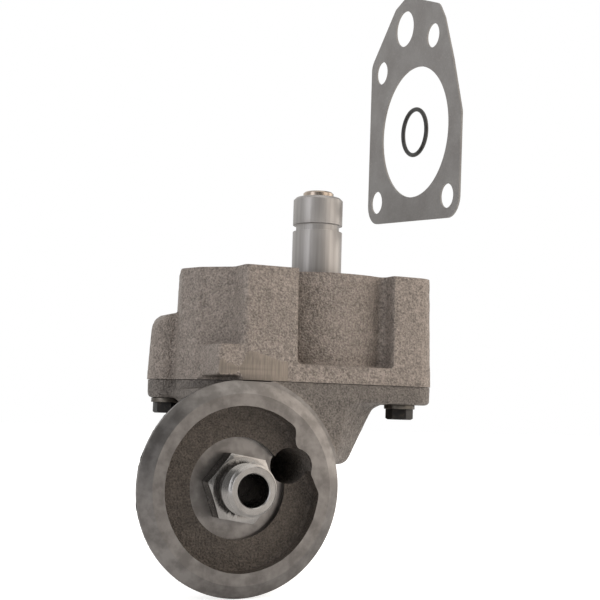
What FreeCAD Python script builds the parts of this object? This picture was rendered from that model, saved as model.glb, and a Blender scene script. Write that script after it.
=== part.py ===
import FreeCAD, Part
import math
import os
import re
import Sketcher
from FreeCAD import Placement, Rotation, Vector

# Engine oil pump: a rotor pump that hangs from the engine block and carries the oil filter.
# Frame in millimetres: the origin is on the pilot's axis at the block's mounting face,
# Z points up along the pilot, X to the right and Y away from the filter pad.

SIZES = {
    # Pilot and drive shaft
    "pilot_dia": (20.64, "pilot diameter, 13/16 in"),
    "pilot_height": (34.6, "pilot above the mounting face"),
    "pilot_chamfer": (1.1, "chamfer on the pilot's end"),
    "pilot_groove_low": (20.2, "lower edge of the pilot's ring groove"),
    "pilot_groove_width": (2.8, "width of the pilot's ring groove"),
    "pilot_groove_root": (18.0, "root diameter of the pilot's ring groove"),
    "pilot_boss_dia": (27.0, "cast boss round the foot of the pilot"),
    "shaft_dia": (12.7, "drive shaft, 1/2 in"),
    "shaft_rise": (2.5, "shaft end above the pilot"),
    "shaft_chamfer": (0.6, "chamfer on the shaft's ends"),
    "shaft_clearance": (0.04, "radial running clearance of the shaft"),
    "hex_flats": (7.94, "drive socket across flats, 5/16 in"),
    "hex_depth": (16.0, "depth of the drive socket"),
    # Pump body
    "body_height": (43.4, "mounting face to cover joint"),
    "body_draft": (1.5, "casting draft in degrees"),
    "housing_dia": (71.0, "cast wall round the rotor bore"),
    "front_wall": (4.7, "front face outside the wall round the rotor bore"),
    "side_wall": (1.5, "right side outside the wall round the rotor bore"),
    "back_wall": (2.5, "back face outside the wall round the rotor bore"),
    "corner_round": (9.0, "radius of the two right corners"),
    "back_turn_x": (4.5, "back face, left end in X"),
    "slope_turn_x": (27.0, "sloping rear wall, left end in X"),
    "slope_turn_back": (7.6, "sloping rear wall, left end in front of the back face"),
    "boss_b_side": (6.0, "left rear bolt boss, corner to the left of the bolt"),
    "boss_b_back": (9.0, "left rear bolt boss, corner behind the bolt"),
    "wall_round": (6.0, "radius of the casting's outer corners"),
    "notch_depth": (9.6, "front bolt boss, corner in front of the left wall"),
    "notch_round": (1.8, "radius of the front bolt boss's left corners"),
    "window_floor": (36.6, "mounting face to the bottom of the side windows"),
    "window_left": (24.2, "front window, left side"),
    "window_right": (16.9, "front window, right side"),
    "window_round": (2.2, "corner radius of the side windows"),
    "window_land": (12.0, "bolt boss beside a side window, measured from the bolt"),
    "window_land_b": (16.0, "left rear bolt boss beside the back window"),
    "boss_left": (46.2, "front bolt boss, left side"),
    "wall_turn_x": (56.9, "left wall, front corner in X"),
    "wall_turn_y": (15.2, "left wall, front corner in Y"),
    "wall_left_x": (60.9, "left wall, outermost point in X"),
    "wall_left_y": (5.2, "left wall, outermost point in Y"),
    "wall_rear_x": (52.4, "left wall, rear corner in X"),
    "wall_rear_y": (22.0, "left wall, rear corner in Y"),
    "stub_left": (56.4, "casting gate stub, left side"),
    "stub_top": (30.2, "mounting face to the top of the gate stub"),
    "stub_gap": (1.3, "gate stub's underside above the cover joint"),
    "stub_round": (1.4, "radius of the gate stub's front corner"),
    "ear_x": (60.6, "cover bolt ear, centre in X"),
    "ear_y": (8.0, "cover bolt ear, centre in Y"),
    "ear_radius": (8.2, "radius of the cover bolt ear"),
    "ear_fullness": (0.98, "ear corner radius as a share of the ear's radius"),
    "ear_root": (8.0, "root of the ear inside the left wall"),
    "ear_draft": (3.0, "casting draft of the ear in degrees"),
    "ear_height": (26.4, "height of the ear above the cover joint"),
    "ear_shoulder": (8.0, "rounded shoulder on top of the ear"),
    "recess_dia": (54.6, "suction recess in the mounting face"),
    "recess_depth": (13.6, "depth of the suction recess"),
    "tap_dia": (9.525, "block bolt holes, 3/8-16, drawn at thread diameter"),
    "tap_depth_b": (25.2, "depth of the left rear block bolt hole"),
    "tap_depth_c": (26.4, "depth of the front left block bolt hole"),
    "tap_depth_d": (22.8, "depth of the front right block bolt hole"),
    "tap_depth_e": (24.0, "depth of the rear right block bolt hole"),
    "hole_b_x": (39.6, "left rear block bolt"),
    "hole_b_y": (17.8, "left rear block bolt"),
    "hole_c_x": (30.3, "front left block bolt"),
    "hole_c_front": (9.8, "front left block bolt behind the front face"),
    "hole_d_side": (8.2, "front right block bolt inside the right side"),
    "hole_d_front": (8.2, "front right block bolt behind the front face"),
    "hole_e_side": (7.6, "rear right block bolt inside the right side"),
    "hole_e_back": (9.5, "rear right block bolt in front of the back face"),
    "passage_x": (46.8, "pressure passage to the block"),
    "passage_y": (6.6, "pressure passage to the block"),
    "passage_dia": (15.0, "pressure passage diameter"),
    # Rotors
    "rotor_offset": (4.0, "outer rotor axis behind the shaft axis"),
    "rotor_dia": (60.0, "outer rotor diameter"),
    "rotor_thick": (24.0, "rotor thickness"),
    "rotor_side_clearance": (0.07, "outer rotor radial clearance"),
    "rotor_end_clearance": (0.06, "rotor end clearance at each face"),
    "lobe_tip": (17.5, "outer rotor axis to the lobe tips"),
    "lobe_radius": (11.0, "radius of the outer rotor's lobes"),
    "lobe_clearance": (0.09, "clearance between the rotors"),
    "rotor_fit": (0.02, "inner rotor bore over the shaft, radial"),
    "port_inner": (13.8, "suction and pressure ports, inner radius"),
    "port_outer": (24.4, "suction and pressure ports, outer radius"),
    "port_depth": (3.0, "depth of the cast ports"),
    "port_angle": (62.0, "half angle of the ports in degrees"),
    # Filter base
    "plate_thick": (7.2, "thickness of the cover plate"),
    "plate_inset": (0.5, "cover plate inside the body's outline"),
    "plate_round": (1.6, "rounded lower edge of the cover plate"),
    "land_reach": (42.0, "pilot axis to the filter's sealing face"),
    "pad_below": (39.9, "cover joint to the filter axis"),
    "pad_dia": (79.2, "filter pad diameter"),
    "land_dia": (70.2, "outer edge of the sealing land"),
    "land_inner": (60.6, "inner edge of the sealing land"),
    "pad_bevel": (2.8, "depth of the pad's bevel"),
    "pad_rim": (1.2, "width of the pad's rim behind the bevel"),
    "pad_thick": (17.0, "pad thickness"),
    "pad_back_dia": (62.0, "pad diameter at its dished back"),
    "bowl_depth": (6.0, "depth of the cast bowl"),
    "bulge_high_x": (20.3, "widened part of the land, upper corner right of the filter axis"),
    "bulge_high_z": (23.6, "widened part of the land, upper corner above the filter axis"),
    "bulge_waist_x": (20.1, "widened part of the land, waist right of the filter axis"),
    "bulge_waist_z": (17.0, "widened part of the land, waist above the filter axis"),
    "bulge_low_x": (27.0, "widened part of the land, lower corner right of the filter axis"),
    "bulge_low_z": (5.4, "widened part of the land, lower corner above the filter axis"),
    "bulge_round": (4.0, "radius of the widened part's corners"),
    "bulge_turn": (21.5, "angle between the ends of the widened part's chords, degrees"),
    "seat_dia": (37.6, "machined seat of the nipple"),
    "seat_depth": (8.2, "depth of the machined seat"),
    "neck_top_x": (3.4, "neck, right front edge at the plate, in X"),
    "neck_low_x": (7.4, "neck, right front edge at the bottom, in X"),
    "neck_below": (31.2, "cover joint to the bottom of the neck"),
    "neck_side_top": (14.9, "neck, right side at the plate"),
    "neck_side_low": (3.3, "neck, right side at the bottom"),
    "neck_side_depth": (12.2, "depth over which the neck widens to its right side"),
    "neck_left": (55.0, "neck, left side"),
    "neck_back": (0.5, "back of the neck behind the pilot axis"),
    "neck_toe": (6.3, "length of the neck's flared foot"),
    "neck_step": (1.9, "drop of the neck's flared foot"),
    "neck_cut": (12.0, "sloping lower left corner of the neck"),
    "neck_round": (4.0, "radius where the neck meets its flared foot"),
    "neck_low_round": (5.0, "radius of the neck's lower right corner"),
    "passage_boss_dia": (27.0, "boss round the return passage"),
    "gallery_x": (26.4, "pressure gallery, X"),
    "gallery_below": (31.6, "cover joint to the pressure gallery"),
    "gallery_dia": (13.5, "pressure gallery diameter"),
    "gallery_wall": (5.0, "wall round the pressure gallery"),
    "riser_x": (20.6, "pressure riser, X"),
    "riser_dia": (10.0, "pressure riser diameter"),
    # Relief valve
    "relief_x": (7.0, "relief valve axis, X"),
    "relief_below": (18.6, "cover joint to the relief valve axis"),
    "relief_bore": (16.0, "relief valve bore"),
    "relief_boss": (23.0, "relief valve boss diameter"),
    "relief_boss_front": (5.0, "front of the relief valve boss before the pilot axis"),
    "relief_web": (15.0, "web between the relief valve boss and the plate"),
    "relief_web_gap": (6.0, "web ends in front of the boss's end face"),
    "relief_clearance": (0.04, "radial clearance of the plunger"),
    "relief_seat_y": (9.0, "plunger seat behind the pilot axis"),
    "relief_seat_dia": (12.0, "pressure chamber in front of the seat"),
    "relief_chamber": (11.0, "length of the pressure chamber"),
    "plunger_length": (16.0, "plunger length"),
    "plunger_wall": (2.2, "plunger wall"),
    "plunger_head": (5.0, "plunger head thickness"),
    "plunger_edge": (1.0, "chamfer on the plunger's head"),
    "relief_travel": (7.0, "travel of the plunger"),
    "relief_stop_gap": (0.5, "plunger short of the plug when it is fully open"),
    "plug_dia": (19.05, "relief plug thread, 3/4-16"),
    "plug_length": (11.0, "length of the plug in the boss"),
    "plug_wall": (3.2, "wall of the plug's hollow end"),
    "plug_hollow": (5.0, "depth of the plug's hollow end"),
    "plug_hex": (25.4, "relief plug across flats, 1 in"),
    "plug_head": (8.0, "relief plug head"),
    "plug_washer_thick": (1.5, "copper sealing washer"),
    "spring_wire": (1.6, "spring wire"),
    "spring_turns": (7.0, "turns of the spring"),
    "spring_slip": (0.5, "spring inside the plunger's skirt, radial"),
    "spring_end_gap": (0.1, "spring short of its two seats"),
    "cross_dia": (8.0, "cross passage to the relief valve"),
    "cross_y": (3.5, "cross passage behind the pilot axis"),
    "return_x": (13.5, "relief return passage, X"),
    "return_y": (13.5, "relief return passage, Y"),
    "return_dia": (5.0, "relief return passage diameter"),
    # Filter nipple
    "nipple_dia": (19.05, "nipple thread, 3/4-16"),
    "nipple_bore": (12.1, "hole through the nipple"),
    "nipple_reach": (9.5, "nipple end in front of the sealing face"),
    "nipple_hex": (23.8, "nipple hexagon across flats, 15/16 in"),
    "nipple_hex_thick": (7.5, "nipple hexagon thickness"),
    "nipple_depth": (15.0, "nipple thread in the base"),
    "nipple_turn": (20.0, "nipple hexagon turned about its axis, degrees"),
    "nipple_chamfer": (1.3, "chamfer on the nipple's ends"),
    "thread_slip": (0.05, "male thread in its tapped hole, radial"),
    "drill_run": (1.0, "tapped hole beyond the end of its thread"),
    # Fasteners and seals
    "cover_bolt_dia": (6.35, "cover bolt, 1/4-20"),
    "cover_bolt_hex": (9.53, "cover bolt across flats, 3/8 in"),
    "cover_bolt_head": (4.2, "cover bolt head"),
    "cover_bolt_length": (22.0, "cover bolt under the head"),
    "cover_bolt_run": (3.0, "tapped hole beyond the end of the cover bolt"),
    "cover_bolt_chamfer": (0.7, "chamfer on the cover bolt's end"),
    "cover_hole_slip": (0.4, "cover bolt in the plate, radial"),
    "cover_bolt_out": (5.2, "right cover bolts outside the wall round the rotor bore"),
    "cover_bolt_out_b": (2.6, "left rear cover bolt outside the wall round the rotor bore"),
    "cover_turn_d": (-51.8, "front right cover bolt, angle about the rotor axis in degrees"),
    "cover_turn_e": (45.7, "rear right cover bolt, angle about the rotor axis in degrees"),
    "cover_turn_b": (147.7, "left rear cover bolt, angle about the rotor axis in degrees"),
    "lock_washer_dia": (12.3, "lock washer diameter"),
    "lock_washer_thick": (1.8, "lock washer thickness"),
    "lock_washer_gap": (2.0, "slot in the lock washer"),
    "washer_slip": (0.15, "washer over its bolt, radial"),
    "hex_relief": (0.15, "turned edge inside a hexagon's flats, radial"),
    "seal_section": (1.78, "ring seal section"),
    "seal_squeeze": (0.25, "squeeze of the ring seals at the joint"),
    "seal_corner": (0.45, "corner radius of a squeezed ring seal"),
    "groove_slip": (0.3, "ring seal in its groove, radial"),
    "passage_seal_dia": (19.0, "seal round the passage, mean diameter"),
    "pilot_seal_bore": (17.9, "pilot O-ring inside diameter"),
    "pilot_seal_section": (1.85, "pilot O-ring section"),
    "gasket_thick": (0.8, "mounting gasket"),
    "gasket_hole": (10.2, "block bolt holes in the gasket"),
    "gasket_ring": (56.5, "large hole in the gasket"),
    "gasket_passage": (15.6, "pressure passage hole in the gasket"),
    "gasket_overhang": (1.6, "gasket beyond the casting's right side"),
    "gasket_front_turn": (4.6, "gasket's front corner to the left of the front bolt"),
    # The gasket and the O-ring stand by themselves above the pump's right side
    "display_x": (44.2, "gasket plane, X"),
    "display_y": (-3.4, "centre of the gasket's large hole, Y"),
    "display_z": (67.8, "centre of the gasket's large hole, Z"),
    "display_lean": (-2.2, "gasket leans out of the vertical, degrees"),
    "display_turn": (4.8, "gasket turned in its own plane, degrees"),
}

# Sizes that follow from the ones above
DERIVED = {
    "front_reach": ("housing_dia / 2 - rotor_offset + front_wall", "pilot axis to the front face"),
    "side_reach": ("housing_dia / 2 + side_wall", "pilot axis to the right side"),
    "back_reach": ("housing_dia / 2 + rotor_offset + back_wall", "pilot axis to the back face"),
    "hole_c_y": ("front_reach - hole_c_front", "front left block bolt, in front of the pilot axis"),
    "hole_d_x": ("side_reach - hole_d_side", "front right block bolt"),
    "hole_d_y": ("front_reach - hole_d_front", "front right block bolt, in front of the pilot axis"),
    "hole_e_x": ("side_reach - hole_e_side", "rear right block bolt"),
    "hole_e_y": ("back_reach - hole_e_back", "rear right block bolt"),
    "pad_drop": ("body_height + pad_below", "mounting face to the filter axis"),
    "neck_low": ("body_height + neck_below", "mounting face to the bottom of the neck"),
    "gallery_drop": ("body_height + gallery_below", "mounting face to the pressure gallery"),
    "relief_drop": ("body_height + relief_below", "mounting face to the relief valve axis"),
    "joint_seal_dia": ("(rotor_dia + housing_dia) / 2", "seal round the rotor bore, mean diameter"),
}

doc = FreeCAD.newDocument("OilPump")
sheet = doc.addObject("Spreadsheet::Sheet", "Sizes")
rows = list(SIZES.items()) + [(word, ("=" + formula, meaning))
                              for word, (formula, meaning) in DERIVED.items()]
for row, (word, (value, meaning)) in enumerate(rows, start=1):
    sheet.set("A%d" % row, meaning)
    sheet.set("B%d" % row, str(value))
    sheet.setAlias("B%d" % row, word)
doc.recompute()


def spell(text):
    """Turn plain words such as pilot_dia / 2 into an expression on the sheet."""
    return re.sub(r"[a-z]+(?:_[a-z]+)+", lambda found: "Sizes." + found.group(0), str(text))


def size(text):
    """The present value of an expression on the sheet."""
    return float(sheet.evalExpression(spell(text)))


def bind(item, path, text):
    item.setExpression(path, spell(text))


def new_body(label):
    body = doc.addObject("PartDesign::Body", label)
    body.Label = label
    return body


def new_sketch(body, plane="XY_Plane", offset="0"):
    """A sketch on one of the body's own origin planes, moved along its normal."""
    sketch = body.newObject("Sketcher::SketchObject", body.Name + "_sketch")
    for feature in body.Origin.OriginFeatures:
        if feature.Role == plane:
            sketch.AttachmentSupport = [(feature, "")]
    sketch.MapMode = "FlatFace"
    bind(sketch, "AttachmentOffset.Base.z", offset)
    return sketch


def pin_point(sketch, geometry, position, x, y):
    """Hold a point at distances from the sketch's origin, given as expressions."""
    for kind, text in (("DistanceX", x), ("DistanceY", y)):
        value = size(text)
        if abs(value) < 1e-9:
            axis = -2 if kind == "DistanceX" else -1
            sketch.addConstraint(Sketcher.Constraint("PointOnObject", geometry, position, axis))
            continue
        index = sketch.addConstraint(Sketcher.Constraint(kind, -1, 1, geometry, position, value))
        bind(sketch, "Constraints[%d]" % index, text)


def circle(sketch, x, y, diameter):
    radius = size(diameter) / 2
    index = sketch.addGeometry(Part.Circle(Vector(size(x), size(y), 0), Vector(0, 0, 1), radius))
    pin_point(sketch, index, 3, x, y)
    held = sketch.addConstraint(Sketcher.Constraint("Diameter", index, 2 * radius))
    bind(sketch, "Constraints[%d]" % held, diameter)
    return index


def outline(sketch, corners):
    """A closed outline: each corner is (x, y, radius), and a radius of 0 is a sharp corner."""
    points = [Vector(size(x), size(y), 0) for x, y, radius in corners]
    radii = [size(radius) for x, y, radius in corners]
    count = len(points)
    starts, ends, arcs = [], [], []
    for i in range(count):
        here = points[i]
        back = (points[i - 1] - here).normalize()
        ahead = (points[(i + 1) % count] - here).normalize()
        half = math.acos(max(-1.0, min(1.0, back.dot(ahead)))) / 2
        reach = radii[i] / math.tan(half) if radii[i] else 0.0
        starts.append(here + back * reach)
        ends.append(here + ahead * reach)
        if radii[i]:
            middle = (back + ahead).normalize()
            centre = here + middle * (radii[i] / math.sin(half))
            arcs.append(Part.Arc(starts[i], centre - middle * radii[i], ends[i]))
        else:
            arcs.append(None)
    lines = [sketch.addGeometry(Part.LineSegment(ends[i], starts[(i + 1) % count]))
             for i in range(count)]
    for i, (x, y, radius) in enumerate(corners):
        before, after = lines[i - 1], lines[i]
        if arcs[i] is None:
            sketch.addConstraint(Sketcher.Constraint("Coincident", before, 2, after, 1))
            pin_point(sketch, after, 1, x, y)
            continue
        arc = sketch.addGeometry(arcs[i])
        near = sketch.getPoint(arc, 1).distanceToPoint(starts[i])
        first, last = (1, 2) if near < 1e-6 else (2, 1)
        sketch.addConstraint(Sketcher.Constraint("Tangent", before, 2, arc, first))
        sketch.addConstraint(Sketcher.Constraint("Tangent", after, 1, arc, last))
        held = sketch.addConstraint(Sketcher.Constraint("Radius", arc, radii[i]))
        bind(sketch, "Constraints[%d]" % held, radius)
        corner = sketch.addGeometry(Part.Point(points[i]), True)
        pin_point(sketch, corner, 1, x, y)
        sketch.addConstraint(Sketcher.Constraint("PointOnObject", corner, 1, before))
        sketch.addConstraint(Sketcher.Constraint("PointOnObject", corner, 1, after))
    return sketch


def sector(sketch, x, y, inner, outer, middle, half):
    """A ring sector round (x, y); middle and half are angles in degrees."""
    centre = Vector(size(x), size(y), 0)
    turn, spread = math.radians(size(middle)), math.radians(size(half))
    low, high = turn - spread, turn + spread
    arcs = []
    for radius in (inner, outer):
        round_arc = Part.ArcOfCircle(Part.Circle(centre, Vector(0, 0, 1), size(radius)), low, high)
        arc = sketch.addGeometry(round_arc)
        pin_point(sketch, arc, 3, x, y)
        held = sketch.addConstraint(Sketcher.Constraint("Radius", arc, size(radius)))
        bind(sketch, "Constraints[%d]" % held, radius)
        arcs.append(arc)
    for point in (1, 2):
        ends = [sketch.getPoint(arc, point) for arc in arcs]
        side = sketch.addGeometry(Part.LineSegment(ends[0], ends[1]))
        sketch.addConstraint(Sketcher.Constraint("Coincident", arcs[0], point, side, 1))
        sketch.addConstraint(Sketcher.Constraint("Coincident", arcs[1], point, side, 2))
        angle = low if point == 1 else high
        held = sketch.addConstraint(Sketcher.Constraint("Angle", side, angle))
        sign = "-" if point == 1 else "+"
        bind(sketch, "Constraints[%d]" % held, "(%s %s %s) * 1 deg" % (middle, sign, half))
    return sketch


def volume(body):
    return body.Shape.Volume if body.Shape and not body.Shape.isNull() else 0.0


def solid_step(body, kind, profile, length, reverse=False, taper=None):
    """Pad or pocket a sketch; the solid has to grow with a pad and shrink with a pocket."""
    doc.recompute()
    before = volume(body)
    feature = body.newObject("PartDesign::" + kind, body.Name + "_" + kind.lower())
    feature.Profile = profile
    bind(feature, "Length", length)
    feature.Reversed = reverse
    if taper:
        bind(feature, "TaperAngle", taper)
    profile.Visibility = False
    body.Tip = feature
    doc.recompute()
    after = volume(body)
    if (kind == "Pad") != (after > before + 1e-6):
        states = ["%s %s" % (o.Name, o.State) for o in body.Group if "Invalid" in o.State]
        raise RuntimeError("%s of %s: %s to %s %s" % (kind, body.Label, before, after, states))
    return feature


def pad(body, profile, length, reverse=False, taper=None):
    return solid_step(body, "Pad", profile, length, reverse, taper)


def pocket(body, profile, length, reverse=False):
    return solid_step(body, "Pocket", profile, length, reverse)


def turned(body, corners, kind="Revolution"):
    """Turn a half profile of (radius, height) corners round the body's Z axis."""
    sketch = new_sketch(body, "XZ_Plane")
    outline(sketch, [(radius, height, "0") for radius, height in corners])
    doc.recompute()
    before = volume(body)
    feature = body.newObject("PartDesign::" + kind, body.Name + "_" + kind.lower())
    feature.Profile = sketch
    feature.ReferenceAxis = (sketch, ["V_Axis"])
    feature.Angle = 360
    body.Tip = feature
    doc.recompute()
    if (kind == "Revolution") != (volume(body) > before + 1e-6):
        raise RuntimeError("%s of %s changed nothing" % (kind, body.Label))
    return feature


def round_edges(body, radius, wanted, kind="Fillet"):
    """Fillet or chamfer the edges that a test on the edge picks out."""
    base = body.Tip
    names = ["Edge%d" % (i + 1) for i, edge in enumerate(base.Shape.Edges) if wanted(edge)]
    if not names:
        raise RuntimeError("no edge to round on " + body.Label)
    feature = body.newObject("PartDesign::" + kind, body.Name + "_" + kind.lower())
    feature.Base = (base, names)
    bind(feature, "Radius" if kind == "Fillet" else "Size", radius)
    body.Tip = feature
    doc.recompute()
    return feature


def lies_at(edge, height, tolerance=0.01):
    box = edge.BoundBox
    return abs(box.ZMin - height) < tolerance and abs(box.ZMax - height) < tolerance


def hexagon(sketch, flats):
    """A hexagon round the sketch's origin with two flats square to its X axis."""
    half = "(%s) / 2" % flats
    side = "(%s) / 2 * tan(30 deg)" % flats
    tip = "(%s) / 2 / cos(30 deg)" % flats
    corners = [(half, side), ("0", tip), ("-" + half, side),
               ("-" + half, "-" + side), ("0", "-" + tip), (half, "-" + side)]
    return outline(sketch, [(x, y, "0") for x, y in corners])


# The cover plate lies inside the body's drafted outline
PLATE_INSET = "(plate_inset - body_height * tan(body_draft * 1 deg))"
# Cuts that open a side of the casting start this far outside it
OUTSIDE = " + 6"
# and run this far past the faces that they open
ABOVE, BELOW = " + 1", " - 1"


def casting_corners(inset, side="side_reach"):
    """Corners of the casting seen from above, anticlockwise from the front right."""
    i = " - " + inset if inset != "0" else ""
    return [(side + i, "-(front_reach%s)" % i, "corner_round"),
            (side + i, "back_reach" + i, "corner_round"),
            ("-back_turn_x", "back_reach" + i, "wall_round"),
            ("-slope_turn_x", "back_reach - slope_turn_back" + i, "wall_round"),
            ("-(hole_b_x + boss_b_side%s)" % i, "hole_b_y + boss_b_back" + i, "wall_round"),
            ("-(wall_rear_x%s)" % i, "wall_rear_y", "wall_round"),
            ("-(wall_left_x%s)" % i, "-wall_left_y", "wall_round"),
            ("-(wall_turn_x%s)" % i, "-wall_turn_y", "wall_round / 2"),
            ("-(boss_left%s)" % i, "-(wall_turn_y + notch_depth%s)" % i, "notch_round"),
            ("-(boss_left%s)" % i, "-(front_reach%s)" % i, "notch_round")]


def ear_corners(inset):
    """A cover bolt ear that runs into the left wall."""
    reach = "(ear_radius - %s)" % inset if inset != "0" else "ear_radius"
    low, high = "ear_y - " + reach, "ear_y + " + reach
    left, root = "-(ear_x + %s)" % reach, "-(wall_rear_x - ear_root)"
    bend = reach + " * ear_fullness"
    return [(left, low, bend), (root, low, "0"), (root, high, "0"), (left, high, bend)]


def round_rotor(out, turn):
    """A place at a distance outside the wall round the rotor bore and an angle about its axis."""
    reach = "(housing_dia / 2 + %s)" % out
    return (reach + " * cos(%s * 1 deg)" % turn,
            "rotor_offset + " + reach + " * sin(%s * 1 deg)" % turn)


COVER_BOLTS = [round_rotor("cover_bolt_out", "cover_turn_d"),
               round_rotor("cover_bolt_out", "cover_turn_e"),
               round_rotor("cover_bolt_out_b", "cover_turn_b"),
               ("-ear_x", "ear_y")]
BLOCK_HOLES = [("-hole_b_x", "hole_b_y"), ("-hole_c_x", "-hole_c_y"),
               ("hole_d_x", "-hole_d_y"), ("hole_e_x", "hole_e_y")]
ROTOR_ROOM = "rotor_thick + 2 * rotor_end_clearance"


def make_pump_body():
    body = new_body("pump_body")
    face = outline(new_sketch(body), casting_corners("0"))
    pad(body, face, "body_height", reverse=True, taper="body_draft")
    ear = outline(new_sketch(body, offset="-body_height"), ear_corners("0"))
    pad(body, ear, "ear_height", taper="-ear_draft")
    # The ear's outer shoulder is rounded as seen from the front
    left = "-(ear_x + ear_radius - ear_height * tan(ear_draft * 1 deg))"
    top = "-(body_height - ear_height)"
    foot, inner = top + " - ear_shoulder" + BELOW, left + " + ear_shoulder" + ABOVE
    shoulder = new_sketch(body, "XZ_Plane", "-(ear_y + ear_radius%s)" % OUTSIDE)
    outline(shoulder, [(left + " - ear_radius", foot, "0"), (left, foot, "0"),
                       (left, top, "ear_shoulder"), (inner, top, "0"), (inner, top + ABOVE, "0"),
                       (left + " - ear_radius", top + ABOVE, "0")])
    pocket(body, shoulder, "2 * (ear_radius%s)" % OUTSIDE, reverse=True)
    stub = new_sketch(body, offset="-body_height + stub_gap")
    root = "-(boss_left - 2 * notch_round)"
    outline(stub, [("-stub_left", "-front_reach", "stub_round"), (root, "-front_reach", "0"),
                   (root, "-(wall_turn_y + 2 * notch_round)", "0"),
                   ("-stub_left", "-(wall_turn_y - notch_round)", "0")])
    pad(body, stub, "body_height - stub_gap - stub_top")
    housing_windows(body)
    pilot = new_sketch(body, offset="-recess_depth")
    circle(pilot, "0", "0", "pilot_dia")
    recess = new_sketch(body)
    circle(recess, "0", "rotor_offset", "recess_dia")
    circle(recess, "0", "0", "pilot_boss_dia")
    pocket(body, recess, "recess_depth")
    pad(body, pilot, "recess_depth + pilot_height")
    end = size("pilot_height")
    round_edges(body, "pilot_chamfer", lambda edge: lies_at(edge, end), "Chamfer")
    turned(body, [("pilot_groove_root / 2", "pilot_groove_low"),
                  ("pilot_dia", "pilot_groove_low"),
                  ("pilot_dia", "pilot_groove_low + pilot_groove_width"),
                  ("pilot_groove_root / 2", "pilot_groove_low + pilot_groove_width")], "Groove")
    joint = "-body_height"
    bore = new_sketch(body, offset=joint)
    circle(bore, "0", "rotor_offset", "rotor_dia + 2 * rotor_side_clearance")
    pocket(body, bore, ROTOR_ROOM, reverse=True)
    roof = joint + " + " + ROTOR_ROOM
    suction = new_sketch(body, offset=roof)
    sector(suction, "0", "rotor_offset", "port_inner", "port_outer", "0", "port_angle")
    pocket(body, suction, "body_height - recess_depth - (%s)" % ROTOR_ROOM + ABOVE, reverse=True)
    pressure = new_sketch(body, offset=roof)
    sector(pressure, "0", "rotor_offset", "port_inner", "port_outer", "180", "port_angle")
    pocket(body, pressure, "port_depth", reverse=True)
    shaft = new_sketch(body, offset="pilot_height")
    circle(shaft, "0", "0", "shaft_dia + 2 * shaft_clearance")
    pocket(body, shaft, "pilot_height + body_height - (%s)" % ROTOR_ROOM)
    passage = new_sketch(body)
    circle(passage, "-passage_x", "-passage_y", "passage_dia")
    pocket(body, passage, "body_height")
    for (x, y), letter in zip(BLOCK_HOLES, "bcde"):
        tap = new_sketch(body)
        circle(tap, x, y, "tap_dia")
        pocket(body, tap, "tap_depth_" + letter)
    screws = new_sketch(body, offset=joint)
    for x, y in COVER_BOLTS:
        circle(screws, x, y, "cover_bolt_dia + 2 * thread_slip")
    thread = "cover_bolt_length - lock_washer_thick - plate_thick"
    pocket(body, screws, thread + " + cover_bolt_run", reverse=True)
    return body


def housing_windows(body):
    """Windows between the bolt bosses, down to the cast wall round the rotor bore."""
    radius = size("housing_dia / 2")
    middle = Vector(0, size("rotor_offset"), 0)

    def window(near, far, edge, across):
        """One window: near and far run along the side, and edge is outside it."""
        sketch = new_sketch(body)
        ends = []
        for text in (near, far):
            along = size(text)
            shift = along - (0 if across else middle.y)
            back = math.copysign(math.sqrt(radius ** 2 - shift ** 2), size(edge))
            ends.append(Vector(along, back + middle.y, 0) if across else Vector(back, along, 0))
        outer = size(edge)
        place = [Vector(p.x, outer, 0) if across else Vector(outer, p.y, 0) for p in ends]
        bulge = Vector(0, math.copysign(radius, outer), 0) if across \
            else Vector(math.copysign(radius, outer), 0, 0)
        arc = sketch.addGeometry(Part.Arc(ends[0], middle + bulge, ends[1]))
        pin_point(sketch, arc, 3, "0", "rotor_offset")
        held = sketch.addConstraint(Sketcher.Constraint("Diameter", arc, 2 * radius))
        bind(sketch, "Constraints[%d]" % held, "housing_dia")
        first = 1 if sketch.getPoint(arc, 1).distanceToPoint(ends[0]) < 1e-6 else 2
        sides = []
        for end, spot, text, point in ((ends[0], place[0], near, first),
                                       (ends[1], place[1], far, 3 - first)):
            side = sketch.addGeometry(Part.LineSegment(end, spot))
            sketch.addConstraint(Sketcher.Constraint("Coincident", arc, point, side, 1))
            pin_point(sketch, side, 2, *((text, edge) if across else (edge, text)))
            sketch.addConstraint(Sketcher.Constraint("Vertical" if across else "Horizontal", side))
            sides.append(side)
        outer_line = sketch.addGeometry(Part.LineSegment(place[0], place[1]))
        sketch.addConstraint(Sketcher.Constraint("Coincident", sides[0], 2, outer_line, 1))
        sketch.addConstraint(Sketcher.Constraint("Coincident", sides[1], 2, outer_line, 2))
        pocket(body, sketch, "window_floor")

    window("-window_left", "window_right", "-(front_reach%s)" % OUTSIDE, True)
    window("-(hole_d_y - window_land)", "hole_e_y - window_land", "side_reach" + OUTSIDE, False)
    window("-(hole_b_x - window_land_b)", "hole_e_x - window_land", "back_reach" + OUTSIDE, True)
    depth = -size("window_floor")
    front = -size("front_reach")

    def corner(edge):
        box = edge.BoundBox
        upright = box.ZLength > 1 and box.XLength < 0.01 and box.YLength < 0.01
        return upright and abs(box.ZMin - depth) < 0.01 and box.YMin > front \
            and math.hypot(box.XMin, box.YMin - middle.y) < radius + 0.05

    round_edges(body, "window_round", corner)


def make_drive_shaft():
    body = new_body("drive_shaft")
    low, high = "-body_height + rotor_end_clearance", "pilot_height + shaft_rise"
    edge = "shaft_dia / 2"
    turned(body, [("0", low), (edge + " - shaft_chamfer", low), (edge, low + " + shaft_chamfer"),
                  (edge, high + " - shaft_chamfer"), (edge + " - shaft_chamfer", high),
                  ("0", high)])
    socket = hexagon(new_sketch(body, offset=high), "hex_flats")
    pocket(body, socket, "hex_depth")
    return body


# Points on the inner rotor's curve for each of its lobes
STEPS_PER_LOBE = 30
INNER_LOBES = 4


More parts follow.
